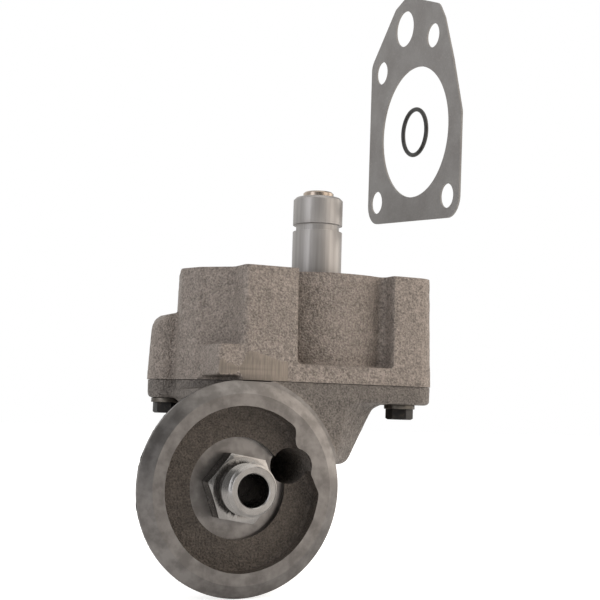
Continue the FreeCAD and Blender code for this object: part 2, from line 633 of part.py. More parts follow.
def inner_rotor_curve(teeth, offset):
    """The curve that the outer rotor's lobes leave on the inner rotor, from its axis."""
    eccentric = size("rotor_offset")
    lobe = size("lobe_radius") + offset
    centre = size("lobe_tip + lobe_radius")
    points = []
    steps = STEPS_PER_LOBE * teeth
    for step in range(steps):
        turn = 2 * math.pi * step / steps
        # Path of one lobe's centre in the inner rotor's own frame
        fast = (teeth + 1) * turn
        path = Vector(centre * math.cos(turn) + eccentric * math.cos(fast),
                      centre * math.sin(turn) + eccentric * math.sin(fast), 0)
        slope = Vector(-centre * math.sin(turn) - eccentric * (teeth + 1) * math.sin(fast),
                       centre * math.cos(turn) + eccentric * (teeth + 1) * math.cos(fast), 0)
        inward = Vector(-slope.y, slope.x, 0).normalize()
        points.append(path + inward * lobe)
    curve = Part.BSplineCurve()
    curve.interpolate(Points=points, PeriodicFlag=True)
    return curve


def make_inner_rotor():
    body = new_body("inner_rotor")
    sketch = new_sketch(body, offset="-body_height + rotor_end_clearance")
    sketch.addGeometry(inner_rotor_curve(INNER_LOBES, size("lobe_clearance")))
    circle(sketch, "0", "0", "shaft_dia + 2 * rotor_fit")
    pad(body, sketch, "rotor_thick")
    return body


def make_outer_rotor():
    body = new_body("outer_rotor")
    blank = new_sketch(body, offset="-body_height + rotor_end_clearance")
    circle(blank, "0", "rotor_offset", "rotor_dia")
    circle(blank, "0", "rotor_offset", "2 * (lobe_tip + 2 * rotor_offset + lobe_clearance)")
    pad(body, blank, "rotor_thick")
    # Five lobes reach in from the ring
    lobes = new_sketch(body, offset="-body_height + rotor_end_clearance")
    count = INNER_LOBES + 1
    spread = size("lobe_tip + lobe_radius")
    lobe, ring = size("lobe_radius"), size("rotor_dia / 4 + lobe_tip / 2 + rotor_offset")
    for i in range(count):
        angle = 90 + i * 360 / count
        x = "(lobe_tip + lobe_radius) * cos(%g deg)" % angle
        y = "rotor_offset + (lobe_tip + lobe_radius) * sin(%g deg)" % angle
        # The lobe's circle is cut off inside the ring
        reach = math.acos((ring ** 2 - spread ** 2 - lobe ** 2) / (2 * spread * lobe))
        turn = math.radians(angle)
        centre = Vector(size(x), size(y), 0)
        arc_curve = Part.ArcOfCircle(Part.Circle(centre, Vector(0, 0, 1), lobe),
                                     turn + reach, turn - reach + 2 * math.pi)
        arc = lobes.addGeometry(arc_curve)
        pin_point(lobes, arc, 3, x, y)
        held = lobes.addConstraint(Sketcher.Constraint("Radius", arc, lobe))
        bind(lobes, "Constraints[%d]" % held, "lobe_radius")
        chord = lobes.addGeometry(Part.LineSegment(lobes.getPoint(arc, 2), lobes.getPoint(arc, 1)))
        lobes.addConstraint(Sketcher.Constraint("Coincident", arc, 2, chord, 1))
        lobes.addConstraint(Sketcher.Constraint("Coincident", arc, 1, chord, 2))
        for point in (1, 2):
            end = lobes.getPoint(arc, point)
            held = lobes.addConstraint(Sketcher.Constraint("DistanceX", -1, 1, arc, point, end.x))
    pad(body, lobes, "rotor_thick")
    return body


def make_filter_base():
    body = new_body("filter_base")
    plate = outline(new_sketch(body, offset="-body_height"), casting_corners(PLATE_INSET))
    pad(body, plate, "plate_thick", reverse=True)
    ear = outline(new_sketch(body, offset="-body_height"), ear_corners("plate_inset"))
    pad(body, ear, "plate_thick", reverse=True)
    low = -size("body_height + plate_thick")
    round_edges(body, "plate_round", lambda edge: lies_at(edge, low))
    neck(body)
    filter_pad(body)
    valve_boss(body)
    passages(body)
    relief_bores(body)
    return body


def neck(body):
    """The neck is drawn from the front; it widens to the right behind its front edge."""
    top = "-(body_height + plate_thick / 2)"
    shelf = "-(body_height + plate_thick)"
    lip = shelf + " + plate_round / 2"
    step = shelf + " - neck_step"
    front_face = "front_reach - %s" % PLATE_INSET

    def section(depth, upper, lower):
        """One section of the neck; upper and lower are its right side in X."""
        sketch = new_sketch(body, "XZ_Plane", depth)
        outline(sketch, [(upper + " + neck_toe", top, "0"), (upper + " + neck_toe", lip, "0"),
                         (upper, step, "neck_round"), (lower, "-neck_low", "neck_low_round"),
                         ("-neck_left", "-neck_low", "0"),
                         ("-(neck_left + neck_toe)", "-(neck_low - neck_cut)", "neck_round"),
                         ("-neck_left", shelf + " - neck_round", "neck_round"),
                         ("-(neck_left + neck_toe)", lip, "0"),
                         ("-(neck_left + neck_toe)", top, "0")])
        return sketch

    front = section(front_face, "-neck_top_x", "-neck_low_x")
    wide = section(front_face + " - neck_side_depth", "neck_side_top", "neck_side_low")
    loft_between(body, front, wide)
    rear = section(front_face + " - neck_side_depth", "neck_side_top", "neck_side_low")
    pad(body, rear, front_face + " - neck_side_depth + neck_back", reverse=True)


def loft_between(body, first, last):
    """A straight-sided solid between two sketches."""
    doc.recompute()
    before = volume(body)
    loft = body.newObject("PartDesign::AdditiveLoft", body.Name + "_loft")
    loft.Profile = first
    loft.Sections = [last]
    loft.Ruled = True
    body.Tip = loft
    doc.recompute()
    if volume(body) < before + 1e-6:
        raise RuntimeError("loft of %s changed nothing" % body.Label)


def pad_circle(body, depth, diameter):
    """A sketch with one circle round the filter's axis, at a distance to the front."""
    sketch = new_sketch(body, "XZ_Plane", depth)
    circle(sketch, "-passage_x", "-pad_drop", diameter)
    return sketch


def filter_pad(body):
    """The round pad for the filter: dished back, rim, bevel, sealing land and bowl."""
    rim = "land_reach - pad_bevel"
    back = "land_reach - pad_thick"
    loft_between(body, pad_circle(body, back, "pad_back_dia"),
                 pad_circle(body, rim + " - pad_rim", "pad_dia"))
    pad(body, pad_circle(body, rim + " - pad_rim", "pad_dia"), "pad_rim")
    loft_between(body, pad_circle(body, rim, "pad_dia"),
                 pad_circle(body, "land_reach", "land_dia"))
    # Boss of the return passage, behind the pad and below the plate
    boss = pad_circle(body, back, "passage_boss_dia")
    pad(body, boss, back + " - passage_y + passage_boss_dia / 2", reverse=True)
    column = new_sketch(body, offset="-(body_height + plate_thick / 2)")
    circle(column, "-passage_x", "-passage_y", "passage_boss_dia - 2 * plate_inset")
    pad(body, column, "pad_drop - body_height - plate_thick / 2", reverse=True)
    gallery = new_sketch(body, "XZ_Plane", back)
    circle(gallery, "-gallery_x", "-gallery_drop", "gallery_dia + 2 * gallery_wall")
    pad(body, gallery, back + " + riser_dia / 2 + gallery_wall", reverse=True)
    pocket(body, pad_circle(body, "land_reach", "land_inner"), "bowl_depth")
    land_bulge(body)
    pocket(body, pad_circle(body, "land_reach", "seat_dia"), "seat_depth")


# Where the land's widened part starts, in chords from the X axis
BULGE_START = -0.45
BULGE_CHORDS = 4


def land_bulge(body):
    """The land widens round the pressure gallery's port, up to the land's own level."""
    def corner(x, z, radius):
        return ("-passage_x + " + x, "-pad_drop + " + z, radius)

    # The outer corners lie on the land's middle line
    corners = []
    for step in range(BULGE_CHORDS + 1):
        angle = "(%g * bulge_turn * 1 deg)" % (BULGE_START + step)
        corners.append(corner("(land_inner + land_dia) / 4 * cos" + angle,
                              "(land_inner + land_dia) / 4 * sin" + angle, "0"))
    for word in ("high", "waist", "low"):
        corners.append(corner("bulge_%s_x" % word, "bulge_%s_z" % word, "bulge_round"))
    bulge = new_sketch(body, "XZ_Plane", "land_reach - bowl_depth")
    outline(bulge, corners)
    pad(body, bulge, "bowl_depth")


# End face of the relief valve boss: plunger, travel and plug follow each other from the seat
RELIEF_END = "(relief_seat_y + plunger_length + relief_travel + relief_stop_gap + plug_length)"


def valve_boss(body):
    """The relief valve's boss lies along Y and hangs from the plate by a web."""
    valve = new_sketch(body, "XZ_Plane", "relief_boss_front")
    circle(valve, "relief_x", "-relief_drop", "relief_boss")
    pad(body, valve, "relief_boss_front + " + RELIEF_END, reverse=True)
    web = new_sketch(body, "XZ_Plane", "-neck_back + plate_inset")
    near, far = "relief_x - relief_web / 2", "relief_x + relief_web / 2"
    top = "-(body_height + plate_thick / 2)"
    outline(web, [(near, "-relief_drop", "0"), (far, "-relief_drop", "0"),
                  (far, top, "0"), (near, top, "0")])
    pad(body, web, RELIEF_END + " - neck_back - relief_web_gap", reverse=True)


def passages(body):
    """Oil passages, ports, seal grooves and bolt holes of the filter base."""
    pocket(body, pad_circle(body, "land_reach", "nipple_dia + 2 * thread_slip"),
           "seat_depth + nipple_depth + drill_run")
    end = "land_reach - seat_depth - nipple_depth"
    pocket(body, pad_circle(body, end, "passage_dia"), end + " - passage_y + passage_dia / 2")
    rise = new_sketch(body, offset="-body_height")
    circle(rise, "-passage_x", "-passage_y", "passage_dia")
    pocket(body, rise, "pad_drop - body_height")
    port = new_sketch(body, "XZ_Plane", "land_reach")
    circle(port, "-gallery_x", "-gallery_drop", "gallery_dia")
    pocket(body, port, "land_reach + riser_dia / 2")
    riser = new_sketch(body, offset="-body_height")
    circle(riser, "-riser_x", "0", "riser_dia")
    pocket(body, riser, "gallery_drop - body_height")
    for middle in ("0", "180"):
        chamber = new_sketch(body, offset="-body_height")
        sector(chamber, "0", "rotor_offset", "port_inner", "port_outer", middle, "port_angle")
        pocket(body, chamber, "port_depth")
    # Grooves of the two ring seals in the plate's upper face
    for x, y, mean in (("0", "rotor_offset", "joint_seal_dia"),
                       ("-passage_x", "-passage_y", "passage_seal_dia")):
        groove = new_sketch(body, offset="-body_height")
        circle(groove, x, y, mean + " + seal_section + 2 * groove_slip")
        circle(groove, x, y, mean + " - seal_section - 2 * groove_slip")
        pocket(body, groove, "seal_section - seal_squeeze")
    screws = new_sketch(body, offset="-body_height")
    for x, y in COVER_BOLTS:
        circle(screws, x, y, "cover_bolt_dia + 2 * cover_hole_slip")
    pocket(body, screws, "plate_thick")


def relief_bores(body):
    """Relief valve: pressure chamber, plunger bore, plug thread and its two passages."""
    for diameter, depth in (("relief_seat_dia", RELIEF_END + " - relief_seat_y + relief_chamber"),
                            ("relief_bore", RELIEF_END + " - relief_seat_y"),
                            ("plug_dia + 2 * thread_slip", "plug_length")):
        bore = new_sketch(body, "XZ_Plane", "-" + RELIEF_END)
        circle(bore, "relief_x", "-relief_drop", diameter)
        pocket(body, bore, depth, reverse=True)
    cross = new_sketch(body, "YZ_Plane", "relief_x")
    circle(cross, "cross_y", "-relief_drop", "cross_dia")
    pocket(body, cross, "relief_x + riser_x")
    back = new_sketch(body, offset="-body_height")
    circle(back, "return_x", "return_y", "return_dia")
    pocket(body, back, "relief_drop - body_height")


def place_at(item, x, y, z):
    for axis, text in zip("xyz", (x, y, z)):
        bind(item, "Placement.Base." + axis, text)


def face_along_y(item, sign):
    """Lay a piece that was turned round Z along Y: sign 1 points it to the back."""
    item.Placement = Placement(Vector(), Rotation(Vector(1, 0, 0), -90 * sign))


def bevel_hexagon(body, flats, face, inward):
    """Turn off a hexagon's corners at 30 degrees; inward is + or - along Z from its face."""
    turned(body, [("%s / 2 - hex_relief" % flats, face), (flats, face),
                  (flats, "%s %s (%s / 2 + hex_relief) * tan(30 deg)" % (face, inward, flats))],
           "Groove")


def make_relief_parts():
    made = []
    plunger = new_body("relief_plunger")
    radius = "relief_bore / 2 - relief_clearance"
    skirt = radius + " - plunger_wall"
    turned(plunger, [("0", "0"), (radius + " - plunger_edge", "0"), (radius, "plunger_edge"),
                     (radius, "plunger_length"), (skirt, "plunger_length"),
                     (skirt, "plunger_head"), ("0", "plunger_head")])
    face_along_y(plunger, 1)
    place_at(plunger, "relief_x", "relief_seat_y", "-relief_drop")
    made.append(plunger)
    plug = new_body("relief_plug")
    outer, inner = "plug_dia / 2", "plug_dia / 2 - plug_wall"
    turned(plug, [("0", "-plug_length + plug_hollow"), (inner, "-plug_length + plug_hollow"),
                  (inner, "-plug_length"), (outer + " - plunger_edge", "-plug_length"),
                  (outer, "-plug_length + plunger_edge"), (outer, "plug_washer_thick"),
                  ("0", "plug_washer_thick")])
    head = hexagon(new_sketch(plug, offset="plug_washer_thick"), "plug_hex")
    pad(plug, head, "plug_head")
    bevel_hexagon(plug, "plug_hex", "plug_washer_thick + plug_head", "-")
    face_along_y(plug, 1)
    place_at(plug, "relief_x", RELIEF_END, "-relief_drop")
    made.append(plug)
    washer = new_body("relief_plug_gasket")
    turned(washer, [("plug_dia / 2 + washer_slip", "0"), ("plug_hex / 2 - hex_relief", "0"),
                    ("plug_hex / 2 - hex_relief", "plug_washer_thick"),
                    ("plug_dia / 2 + washer_slip", "plug_washer_thick")])
    face_along_y(washer, 1)
    place_at(washer, "relief_x", RELIEF_END, "-relief_drop")
    made.append(washer)
    made.append(make_relief_spring())
    return made


def make_relief_spring():
    """A wound spring between the plunger's head and the bottom of the plug."""
    body = new_body("relief_spring")
    start = "relief_seat_y + plunger_head + spring_wire / 2 + spring_end_gap"
    stop = RELIEF_END + " - plug_length + plug_hollow - spring_wire / 2 - spring_end_gap"
    coil = "relief_bore / 2 - relief_clearance - plunger_wall - spring_slip - spring_wire / 2"
    section = new_sketch(body, "XZ_Plane")
    circle(section, coil, "0", "spring_wire")
    doc.recompute()
    helix = body.newObject("PartDesign::AdditiveHelix", "relief_spring_helix")
    helix.Profile = section
    helix.ReferenceAxis = (section, ["V_Axis"])
    helix.Mode = "height-turns-angle"
    bind(helix, "Height", "(%s) - (%s)" % (stop, start))
    bind(helix, "Turns", "spring_turns")
    body.Tip = helix
    face_along_y(body, 1)
    place_at(body, "relief_x", start, "-relief_drop")
    return body


def make_filter_nipple():
    body = new_body("filter_nipple")
    tip = "nipple_reach"
    foot = "-(seat_depth + nipple_depth)"
    outer, hole = "nipple_dia / 2", "nipple_bore / 2"
    turned(body, [(hole, foot), (outer + " - nipple_chamfer", foot),
                  (outer, foot + " + nipple_chamfer"), (outer, tip + " - nipple_chamfer"),
                  (outer + " - nipple_chamfer", tip), (hole, tip)])
    nut = new_sketch(body, offset="-seat_depth")
    hexagon(nut, "nipple_hex")
    circle(nut, "0", "0", "(nipple_dia + nipple_bore) / 2")
    pad(body, nut, "nipple_hex_thick")
    bevel_hexagon(body, "nipple_hex", "-seat_depth + nipple_hex_thick", "-")
    body.Placement = Placement(Vector(), Rotation(Vector(1, 0, 0), 90)
                               * Rotation(Vector(0, 0, 1), size("nipple_turn")))
    place_at(body, "-passage_x", "-land_reach", "-pad_drop")
    return body


def make_ring(label, mean, section, height):
    """A ring seal turned round Z, with its centre at a height."""
    body = new_body(label)
    sketch = new_sketch(body, "XZ_Plane")
    circle(sketch, "(%s) / 2" % mean, height, section)
    doc.recompute()
    feature = body.newObject("PartDesign::Revolution", label + "_turned")
    feature.Profile = sketch
    feature.ReferenceAxis = (sketch, ["V_Axis"])
    feature.Angle = 360
    body.Tip = feature
    return body


def make_joint_seals():
    """Ring seals squeezed flat between the plate's grooves and the body."""
    made = []
    for label, mean, x, y in (("base_seal_ring", "joint_seal_dia", "0", "rotor_offset"),
                              ("passage_seal_ring", "passage_seal_dia",
                               "-passage_x", "-passage_y")):
        body = new_body(label)
        inner = mean + " / 2 - seal_section / 2"
        outer = mean + " / 2 + seal_section / 2"
        low, high = "-body_height - seal_section + seal_squeeze", "-body_height"
        soft = "seal_corner"
        sketch = new_sketch(body, "XZ_Plane")
        outline(sketch, [(inner, low, soft), (outer, low, soft),
                         (outer, high, soft), (inner, high, soft)])
        doc.recompute()
        feature = body.newObject("PartDesign::Revolution", label + "_turned")
        feature.Profile = sketch
        feature.ReferenceAxis = (sketch, ["V_Axis"])
        feature.Angle = 360
        body.Tip = feature
        place_at(body, x, y, "0")
        made.append(body)
    return made


def make_cover_bolts():
    """Cover bolts with split lock washers, screwed up into the pump body."""
    made = []
    seat = "-(body_height + plate_thick)"
    for number, (x, y) in enumerate(COVER_BOLTS, start=1):
        bolt = new_body("cover_bolt_%d" % number)
        head = hexagon(new_sketch(bolt, offset="-cover_bolt_head"), "cover_bolt_hex")
        pad(bolt, head, "cover_bolt_head")
        bevel_hexagon(bolt, "cover_bolt_hex", "-cover_bolt_head", "+")
        shank = new_sketch(bolt)
        circle(shank, "0", "0", "cover_bolt_dia")
        pad(bolt, shank, "cover_bolt_length")
        tip = size("cover_bolt_length")
        round_edges(bolt, "cover_bolt_chamfer", lambda edge: lies_at(edge, tip), "Chamfer")
        place_at(bolt, x, y, seat + " - lock_washer_thick")
        made.append(bolt)
        washer = new_body("lock_washer_%d" % number)
        hole = "cover_bolt_dia / 2 + washer_slip"
        turned(washer, [(hole, "-lock_washer_thick"), ("lock_washer_dia / 2", "-lock_washer_thick"),
                        ("lock_washer_dia / 2", "0"), (hole, "0")])
        split = new_sketch(washer)
        outline(split, [("0", "-lock_washer_gap / 2", "0"),
                        ("lock_washer_dia", "-lock_washer_gap / 2", "0"),
                        ("lock_washer_dia", "lock_washer_gap / 2", "0"),
                        ("0", "lock_washer_gap / 2", "0")])
        pocket(washer, split, "lock_washer_thick")
        place_at(washer, x, y, seat)
        made.append(washer)
    return made


def on_display(item):
    """Stand a flat piece upright, with its own X pointing down and its Y to the front."""
    lean, turn = size("display_lean"), size("display_turn")
    upright = Rotation(Vector(0, 0, -1), Vector(0, -1, 0), Vector(-1, 0, 0), "XYZ")
    item.Placement = Placement(Vector(), Rotation(Vector(0, 1, 0), lean)
                               * Rotation(Vector(1, 0, 0), turn) * upright)
    place_at(item, "display_x", "display_y", "display_z")


def make_mounting_gasket():
    """The gasket copies the mounting face; its origin is the centre of its large hole."""
    body = new_body("mounting_gasket")
    corners = casting_corners("0", "side_reach + gasket_overhang")[:-2]
    corners.append(("-(hole_c_x + gasket_front_turn)", "-front_reach", "wall_round"))
    sketch = new_sketch(body)
    outline(sketch, [(x, "%s - rotor_offset" % y, radius) for x, y, radius in corners])
    circle(sketch, "0", "0", "gasket_ring")
    circle(sketch, "-passage_x", "-passage_y - rotor_offset", "gasket_passage")
    for x, y in BLOCK_HOLES:
        circle(sketch, x, y + " - rotor_offset", "gasket_hole")
    pad(body, sketch, "gasket_thick")
    on_display(body)
    return body


def make_pilot_o_ring():
    body = make_ring("pilot_o_ring", "pilot_seal_bore + pilot_seal_section",
                     "pilot_seal_section", "gasket_thick / 2")
    on_display(body)
    return body


parts = [make_pump_body(), make_drive_shaft(), make_inner_rotor(), make_outer_rotor(),
         make_filter_base()]
parts += make_relief_parts()
parts.append(make_filter_nipple())
parts += make_joint_seals()
parts += make_cover_bolts()
parts += [make_mounting_gasket(), make_pilot_o_ring()]
doc.recompute()

for item in doc.Objects:
    if "Invalid" in item.State or "Error" in item.State:
        raise RuntimeError("%s failed: %s" % (item.Label, item.State))
for item in parts:
    if item.Shape.isNull() or not item.Shape.isValid():
        raise RuntimeError("bad shape: " + item.Label)

os.makedirs("parts", exist_ok=True)
for item in parts:
    item.Shape.exportStep("parts/" + item.Label + ".step")
    print(item.Label, len(item.Shape.Solids), round(item.Shape.Volume, 1))
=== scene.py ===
import math

import bpy
from bpy.props import FloatProperty, FloatVectorProperty, IntProperty, PointerProperty
from mathutils import Matrix, Vector


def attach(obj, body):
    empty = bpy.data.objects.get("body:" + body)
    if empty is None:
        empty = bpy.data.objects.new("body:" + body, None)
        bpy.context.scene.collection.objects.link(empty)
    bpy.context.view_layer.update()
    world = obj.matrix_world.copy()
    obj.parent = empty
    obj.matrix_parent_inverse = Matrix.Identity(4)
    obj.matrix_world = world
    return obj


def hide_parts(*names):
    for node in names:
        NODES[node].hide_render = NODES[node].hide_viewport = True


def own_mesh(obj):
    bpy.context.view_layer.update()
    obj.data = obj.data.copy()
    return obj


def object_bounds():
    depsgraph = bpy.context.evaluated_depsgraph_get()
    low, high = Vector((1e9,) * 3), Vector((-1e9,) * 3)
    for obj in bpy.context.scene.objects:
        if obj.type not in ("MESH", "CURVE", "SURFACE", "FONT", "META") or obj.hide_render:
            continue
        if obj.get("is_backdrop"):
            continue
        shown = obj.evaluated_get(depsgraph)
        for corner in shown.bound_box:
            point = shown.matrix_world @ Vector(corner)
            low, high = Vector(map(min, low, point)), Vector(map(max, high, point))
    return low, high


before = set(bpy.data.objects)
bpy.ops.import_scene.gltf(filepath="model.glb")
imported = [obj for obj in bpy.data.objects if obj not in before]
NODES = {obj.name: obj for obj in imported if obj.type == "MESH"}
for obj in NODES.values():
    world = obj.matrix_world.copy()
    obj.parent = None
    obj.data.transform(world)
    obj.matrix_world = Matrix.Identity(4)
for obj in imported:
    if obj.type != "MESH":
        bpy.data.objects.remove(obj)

# Dresses a rotor-type engine oil pump: sand castings with their machined faces,
# a threaded filter nipple, fasteners, seals, rotors and a plain studio.

bl_info = {
    "name": "Engine oil pump",
    "version": (1, 0, 0),
    "blender": (4, 5, 0),
    "location": "3D View > Sidebar > Oil pump",
    "description": "Castings, machined faces, fasteners, seals and a studio for a rotor oil pump",
    "category": "Object",
}

MM = 0.001
NODE_WELD = 0.004 * MM   # points of a CAD node closer than this are one

# Places on the pump, in millimetres
JOINT = -43.4            # where the cover plate meets the body
LAND = -42.0             # the filter's sealing face
BOWL_FLOOR = -36.0
SEAT = -33.8             # where the nipple's collar stands
BORE_END = -17.8         # back end of the bore that the nipple is screwed into
FILTER_X, FILTER_Z = -46.8, -83.3
PORT_X, PORT_Z = -26.4, -75.0
PASSAGE_X, PASSAGE_Y = -46.8, -6.6
ROTOR_Y = 4.0            # the outer rotor's axis
ABOVE_ROTORS = -19.2     # just above the roof of the rotor chamber
# Holes for the block's bolts: across, back and depth
TAPPED_HOLES = ((-39.6, 17.8, 25.2), (-30.3, -26.4, 26.4), (28.8, -28.0, 22.8),
                (29.4, 32.5, 24.0))
COVER_BOLTS = ((25.17, -27.98), (28.43, 33.13), (-32.2, 24.36), (-60.6, 8.0))

# Radius of each hole, and of the plug that fills it until the casting is rebuilt
TAP_HOLE, TAP_PLUG = 4.7625, 5.2
PASSAGE_HOLE, PASSAGE_PLUG = 7.5, 8.0
SHAFT_HOLE, SHAFT_PLUG = 6.39, 6.8
SEAT_HOLE, SEAT_PLUG = 18.8, 19.6
PORT_HOLE, PORT_PLUG = 6.75, 7.2
NIPPLE_HOLE = 9.575

PILOT, PILOT_TOP = 10.32, 34.6
GROOVE, GROOVE_LOW, GROOVE_HIGH = 9.0, 20.2, 23.0

# The filter pad, as radii and as heights above the land
BOWL_REACH = 32.0        # no part of the bowl's wall is further out
LAND_RIM, RIM, RIM_STOCK = 34.8, 39.6, 41.4
BEVEL_END, RIM_BACK = -2.8, -4.0

# The filter nipple, as radii and as heights above the land
NIPPLE_THREAD, NIPPLE_BORE, NIPPLE_MOUTH = 9.525, 6.05, 6.8
NIPPLE_BACK, NIPPLE_FRONT = -23.2, 9.5
COLLAR_BACK, COLLAR_FRONT, COLLAR_THICK = -8.2, -0.7, 7.5
COLLAR_FLATS = 23.8      # across the flats
COLLAR_TURN = 20.0       # degrees

# The casting's gate is ground off over this patch of the front. The wheel is larger than the
# patch and held a little askew, so it runs out of the uneven face without a step.
GATE_LEFT, GATE_RIGHT = -58.0, -30.0
GATE_MIDDLE = -39.6
GATE_FACE, GATE_DEPTH = -36.2, 0.34
WHEEL_RADIUS, WHEEL_TILT = 40.0, 1.15

SPARE = 2.5              # stock left on a casting where it is machined
HAIR = 0.02              # a face this near to a machined plane lies in it

# The studio
LIT_POINT = (-20, -10, -35)
LAMP_DISTANCE = 0.8      # metres
CAMERA_PLACE = (-0.2194, -0.4582, -0.0552)
CAMERA_TURN = (24.86, 5.28, 1.68)    # heading, upward tilt and roll in degrees


def linear(hexa):
    """An sRGB hex colour as linear red, green, blue and alpha."""
    parts = [int(hexa[i:i + 2], 16) / 255 for i in (1, 3, 5)]
    return tuple(p / 12.92 if p <= 0.04045 else ((p + 0.055) / 1.055) ** 2.4
                 for p in parts) + (1.0,)


# ---------------------------------------------------------------- sizes and colours

class CastingSettings(bpy.types.PropertyGroup):
    """How coarse the sand castings are."""
    cell: FloatProperty(
        name="Cell", description="Size of the cells that the castings are built from",
        default=0.8 * MM, min=0.4 * MM, unit="LENGTH", precision=5)
    rounding: IntProperty(
        name="Rounding", description="Smoothing passes that round the cast edges",
        default=3, min=0, max=30)
    swell: FloatProperty(
        name="Swell", description="Height of the slow waves left by the mould",
        default=0.35 * MM, min=0.0, unit="LENGTH", precision=5)
    pebble: FloatProperty(
        name="Pebble", description="Height of the lumps left by the sand",
        default=0.16 * MM, min=0.0, unit="LENGTH", precision=5)
    iron: FloatVectorProperty(
        name="Body iron", description="Colour of the pump body's casting",
        subtype="COLOR", size=4, min=0.0, max=1.0, default=linear("#887f78"))
    iron_base: FloatVectorProperty(
        name="Base iron", description="Colour of the filter base's casting",
        subtype="COLOR", size=4, min=0.0, max=1.0, default=linear("#6d6762"))
    iron_bowl: FloatVectorProperty(
        name="Bowl iron", description="Colour of the filter bowl, where the casting skin is dark",
        subtype="COLOR", size=4, min=0.0, max=1.0, default=linear("#524b45"))


class FinishSettings(bpy.types.PropertyGroup):
    """Sizes and colours of the machined and bought pieces."""
    thread_pitch: FloatProperty(
        name="Thread pitch", description="Pitch of the filter nipple's thread, 16 to the inch",
        default=25.4 / 16 * MM, min=0.5 * MM, unit="LENGTH", precision=5)
    edge: FloatProperty(
        name="Broken edge", description="Rounding of the edges of small steel pieces",
        default=0.18 * MM, min=0.0, unit="LENGTH", precision=5)
    head_edge: FloatProperty(
        name="Bolt head edge", description="Rounding of the edges of the bolt heads",
        default=0.7 * MM, min=0.0, unit="LENGTH", precision=5)
    gasket: FloatVectorProperty(
        name="Gasket", description="Colour of the gasket sheet",
        subtype="COLOR", size=4, min=0.0, max=1.0, default=linear("#83817f"))


class StudioSettings(bpy.types.PropertyGroup):
    """Camera and light."""
    lens: FloatProperty(
        name="Lens", description="Focal length of the camera", default=73.52, min=10.0,
        unit="CAMERA")
    right_power: FloatProperty(
        name="Right light", description="Power of the warm light at the right", default=6.4,
        min=0.0, unit="POWER")
    left_power: FloatProperty(
        name="Left light", description="Power of the cool light at the left", default=1.9,
        min=0.0, unit="POWER")
    top_power: FloatProperty(
        name="Top light", description="Power of the light overhead", default=1.9,
        min=0.0, unit="POWER")


# ---------------------------------------------------------------- modelling helpers

def alone(piece):
    """Make one object the only selected one, in object mode."""
    if bpy.context.object and bpy.context.object.mode != "OBJECT":
        bpy.ops.object.mode_set(mode="OBJECT")
    bpy.ops.object.select_all(action="DESELECT")
    if piece:
        bpy.context.view_layer.objects.active = piece
        piece.select_set(True)


def edit_all(piece):
    """Open a piece in edit mode with everything selected."""
    alone(piece)
    bpy.ops.object.mode_set(mode="EDIT")
    bpy.ops.mesh.select_mode(type="VERT")
    bpy.ops.mesh.select_all(action="SELECT")


def done_editing():
    """Back to object mode."""
    bpy.ops.object.mode_set(mode="OBJECT")


def node_copy(node, name):
    """A copy of a CAD node with its loose triangles merged."""
    piece = bpy.data.objects.new(name, NODES[node].data.copy())
    piece.data.name = name
    piece.data.materials.clear()
    bpy.context.scene.collection.objects.link(piece)
    edit_all(piece)
    bpy.ops.mesh.remove_doubles(threshold=NODE_WELD)
    done_editing()
    return piece


def apply_modifier(piece, kind, **settings):
    """Add a modifier with its settings and apply it."""
    alone(piece)
    step = piece.modifiers.new(kind.title(), kind)
    for key, value in settings.items():
        setattr(step, key, value)
    bpy.ops.object.modifier_apply(modifier=step.name)


def remove(thing):
    """Delete an object."""
    bpy.data.objects.remove(thing, do_unlink=True)


def cut_away(piece, tool, finish=None):
    """Take the tool's volume out of the piece; the cut faces get the finish."""
    if finish:
        tool.data.materials.append(finish)
    apply_modifier(piece, "BOOLEAN", operation="DIFFERENCE", solver="EXACT", object=tool,
                   material_mode="TRANSFER" if finish else "INDEX")
    remove(tool)


def drop_slivers(piece):
    """Delete the loose bits that a cut leaves, and keep the largest shell."""
    edit_all(piece)
    bpy.ops.mesh.separate(type="LOOSE")
    done_editing()
    shells = list(bpy.context.selected_objects)
    largest = max(shells, key=lambda shell: len(shell.data.polygons))
    piece.data, largest.data = largest.data, piece.data
    for shell in shells:
        if shell is not piece:
            remove(shell)


def bar(name, radius, start, end, sides=72):
    """A round bar between two points in millimetres, for plugging or drilling holes."""
    start, end = Vector(start) * MM, Vector(end) * MM
    run = end - start
    turn = Vector((0, 0, 1)).rotation_difference(run).to_euler()
    alone(None)
    bpy.ops.mesh.primitive_cylinder_add(vertices=sides, radius=radius * MM, depth=run.length,
                                        location=(start + end) / 2, rotation=turn)
    tool = bpy.context.object
    tool.name = name
    bpy.ops.object.transform_apply()
    return tool


def lathe(name, profile, sides=96):
    """Turn a closed profile of (radius, height) in millimetres round Z, ring by ring."""
    radius, height = profile[0]
    alone(None)
    bpy.ops.mesh.primitive_circle_add(vertices=sides, radius=radius * MM,
                                      location=(0, 0, height * MM))
    piece = bpy.context.object
    piece.name = piece.data.name = name
    bpy.ops.object.transform_apply()
    edit_all(piece)
    for new_radius, new_height in profile[1:] + profile[:1]:
        bpy.ops.mesh.extrude_edges_move(
            TRANSFORM_OT_translate={"value": (0, 0, (new_height - height) * MM)})
        share = new_radius / radius
        bpy.ops.transform.resize(value=(share, share, 1), center_override=(0, 0, new_height * MM))
        radius, height = new_radius, new_height
    bpy.ops.mesh.select_all(action="SELECT")
    bpy.ops.mesh.remove_doubles(threshold=0.001 * MM)
    bpy.ops.mesh.normals_make_consistent(inside=False)
    done_editing()
    return piece


def place_filter_axis(piece):
    """Carry a piece that was turned round Z to the filter's axis, with its end to the front."""
    piece.matrix_world = Matrix.Translation(Vector((FILTER_X, LAND, FILTER_Z)) * MM) \
        @ Matrix.Rotation(math.radians(90), 4, "X")
    alone(piece)
    bpy.ops.object.transform_apply()


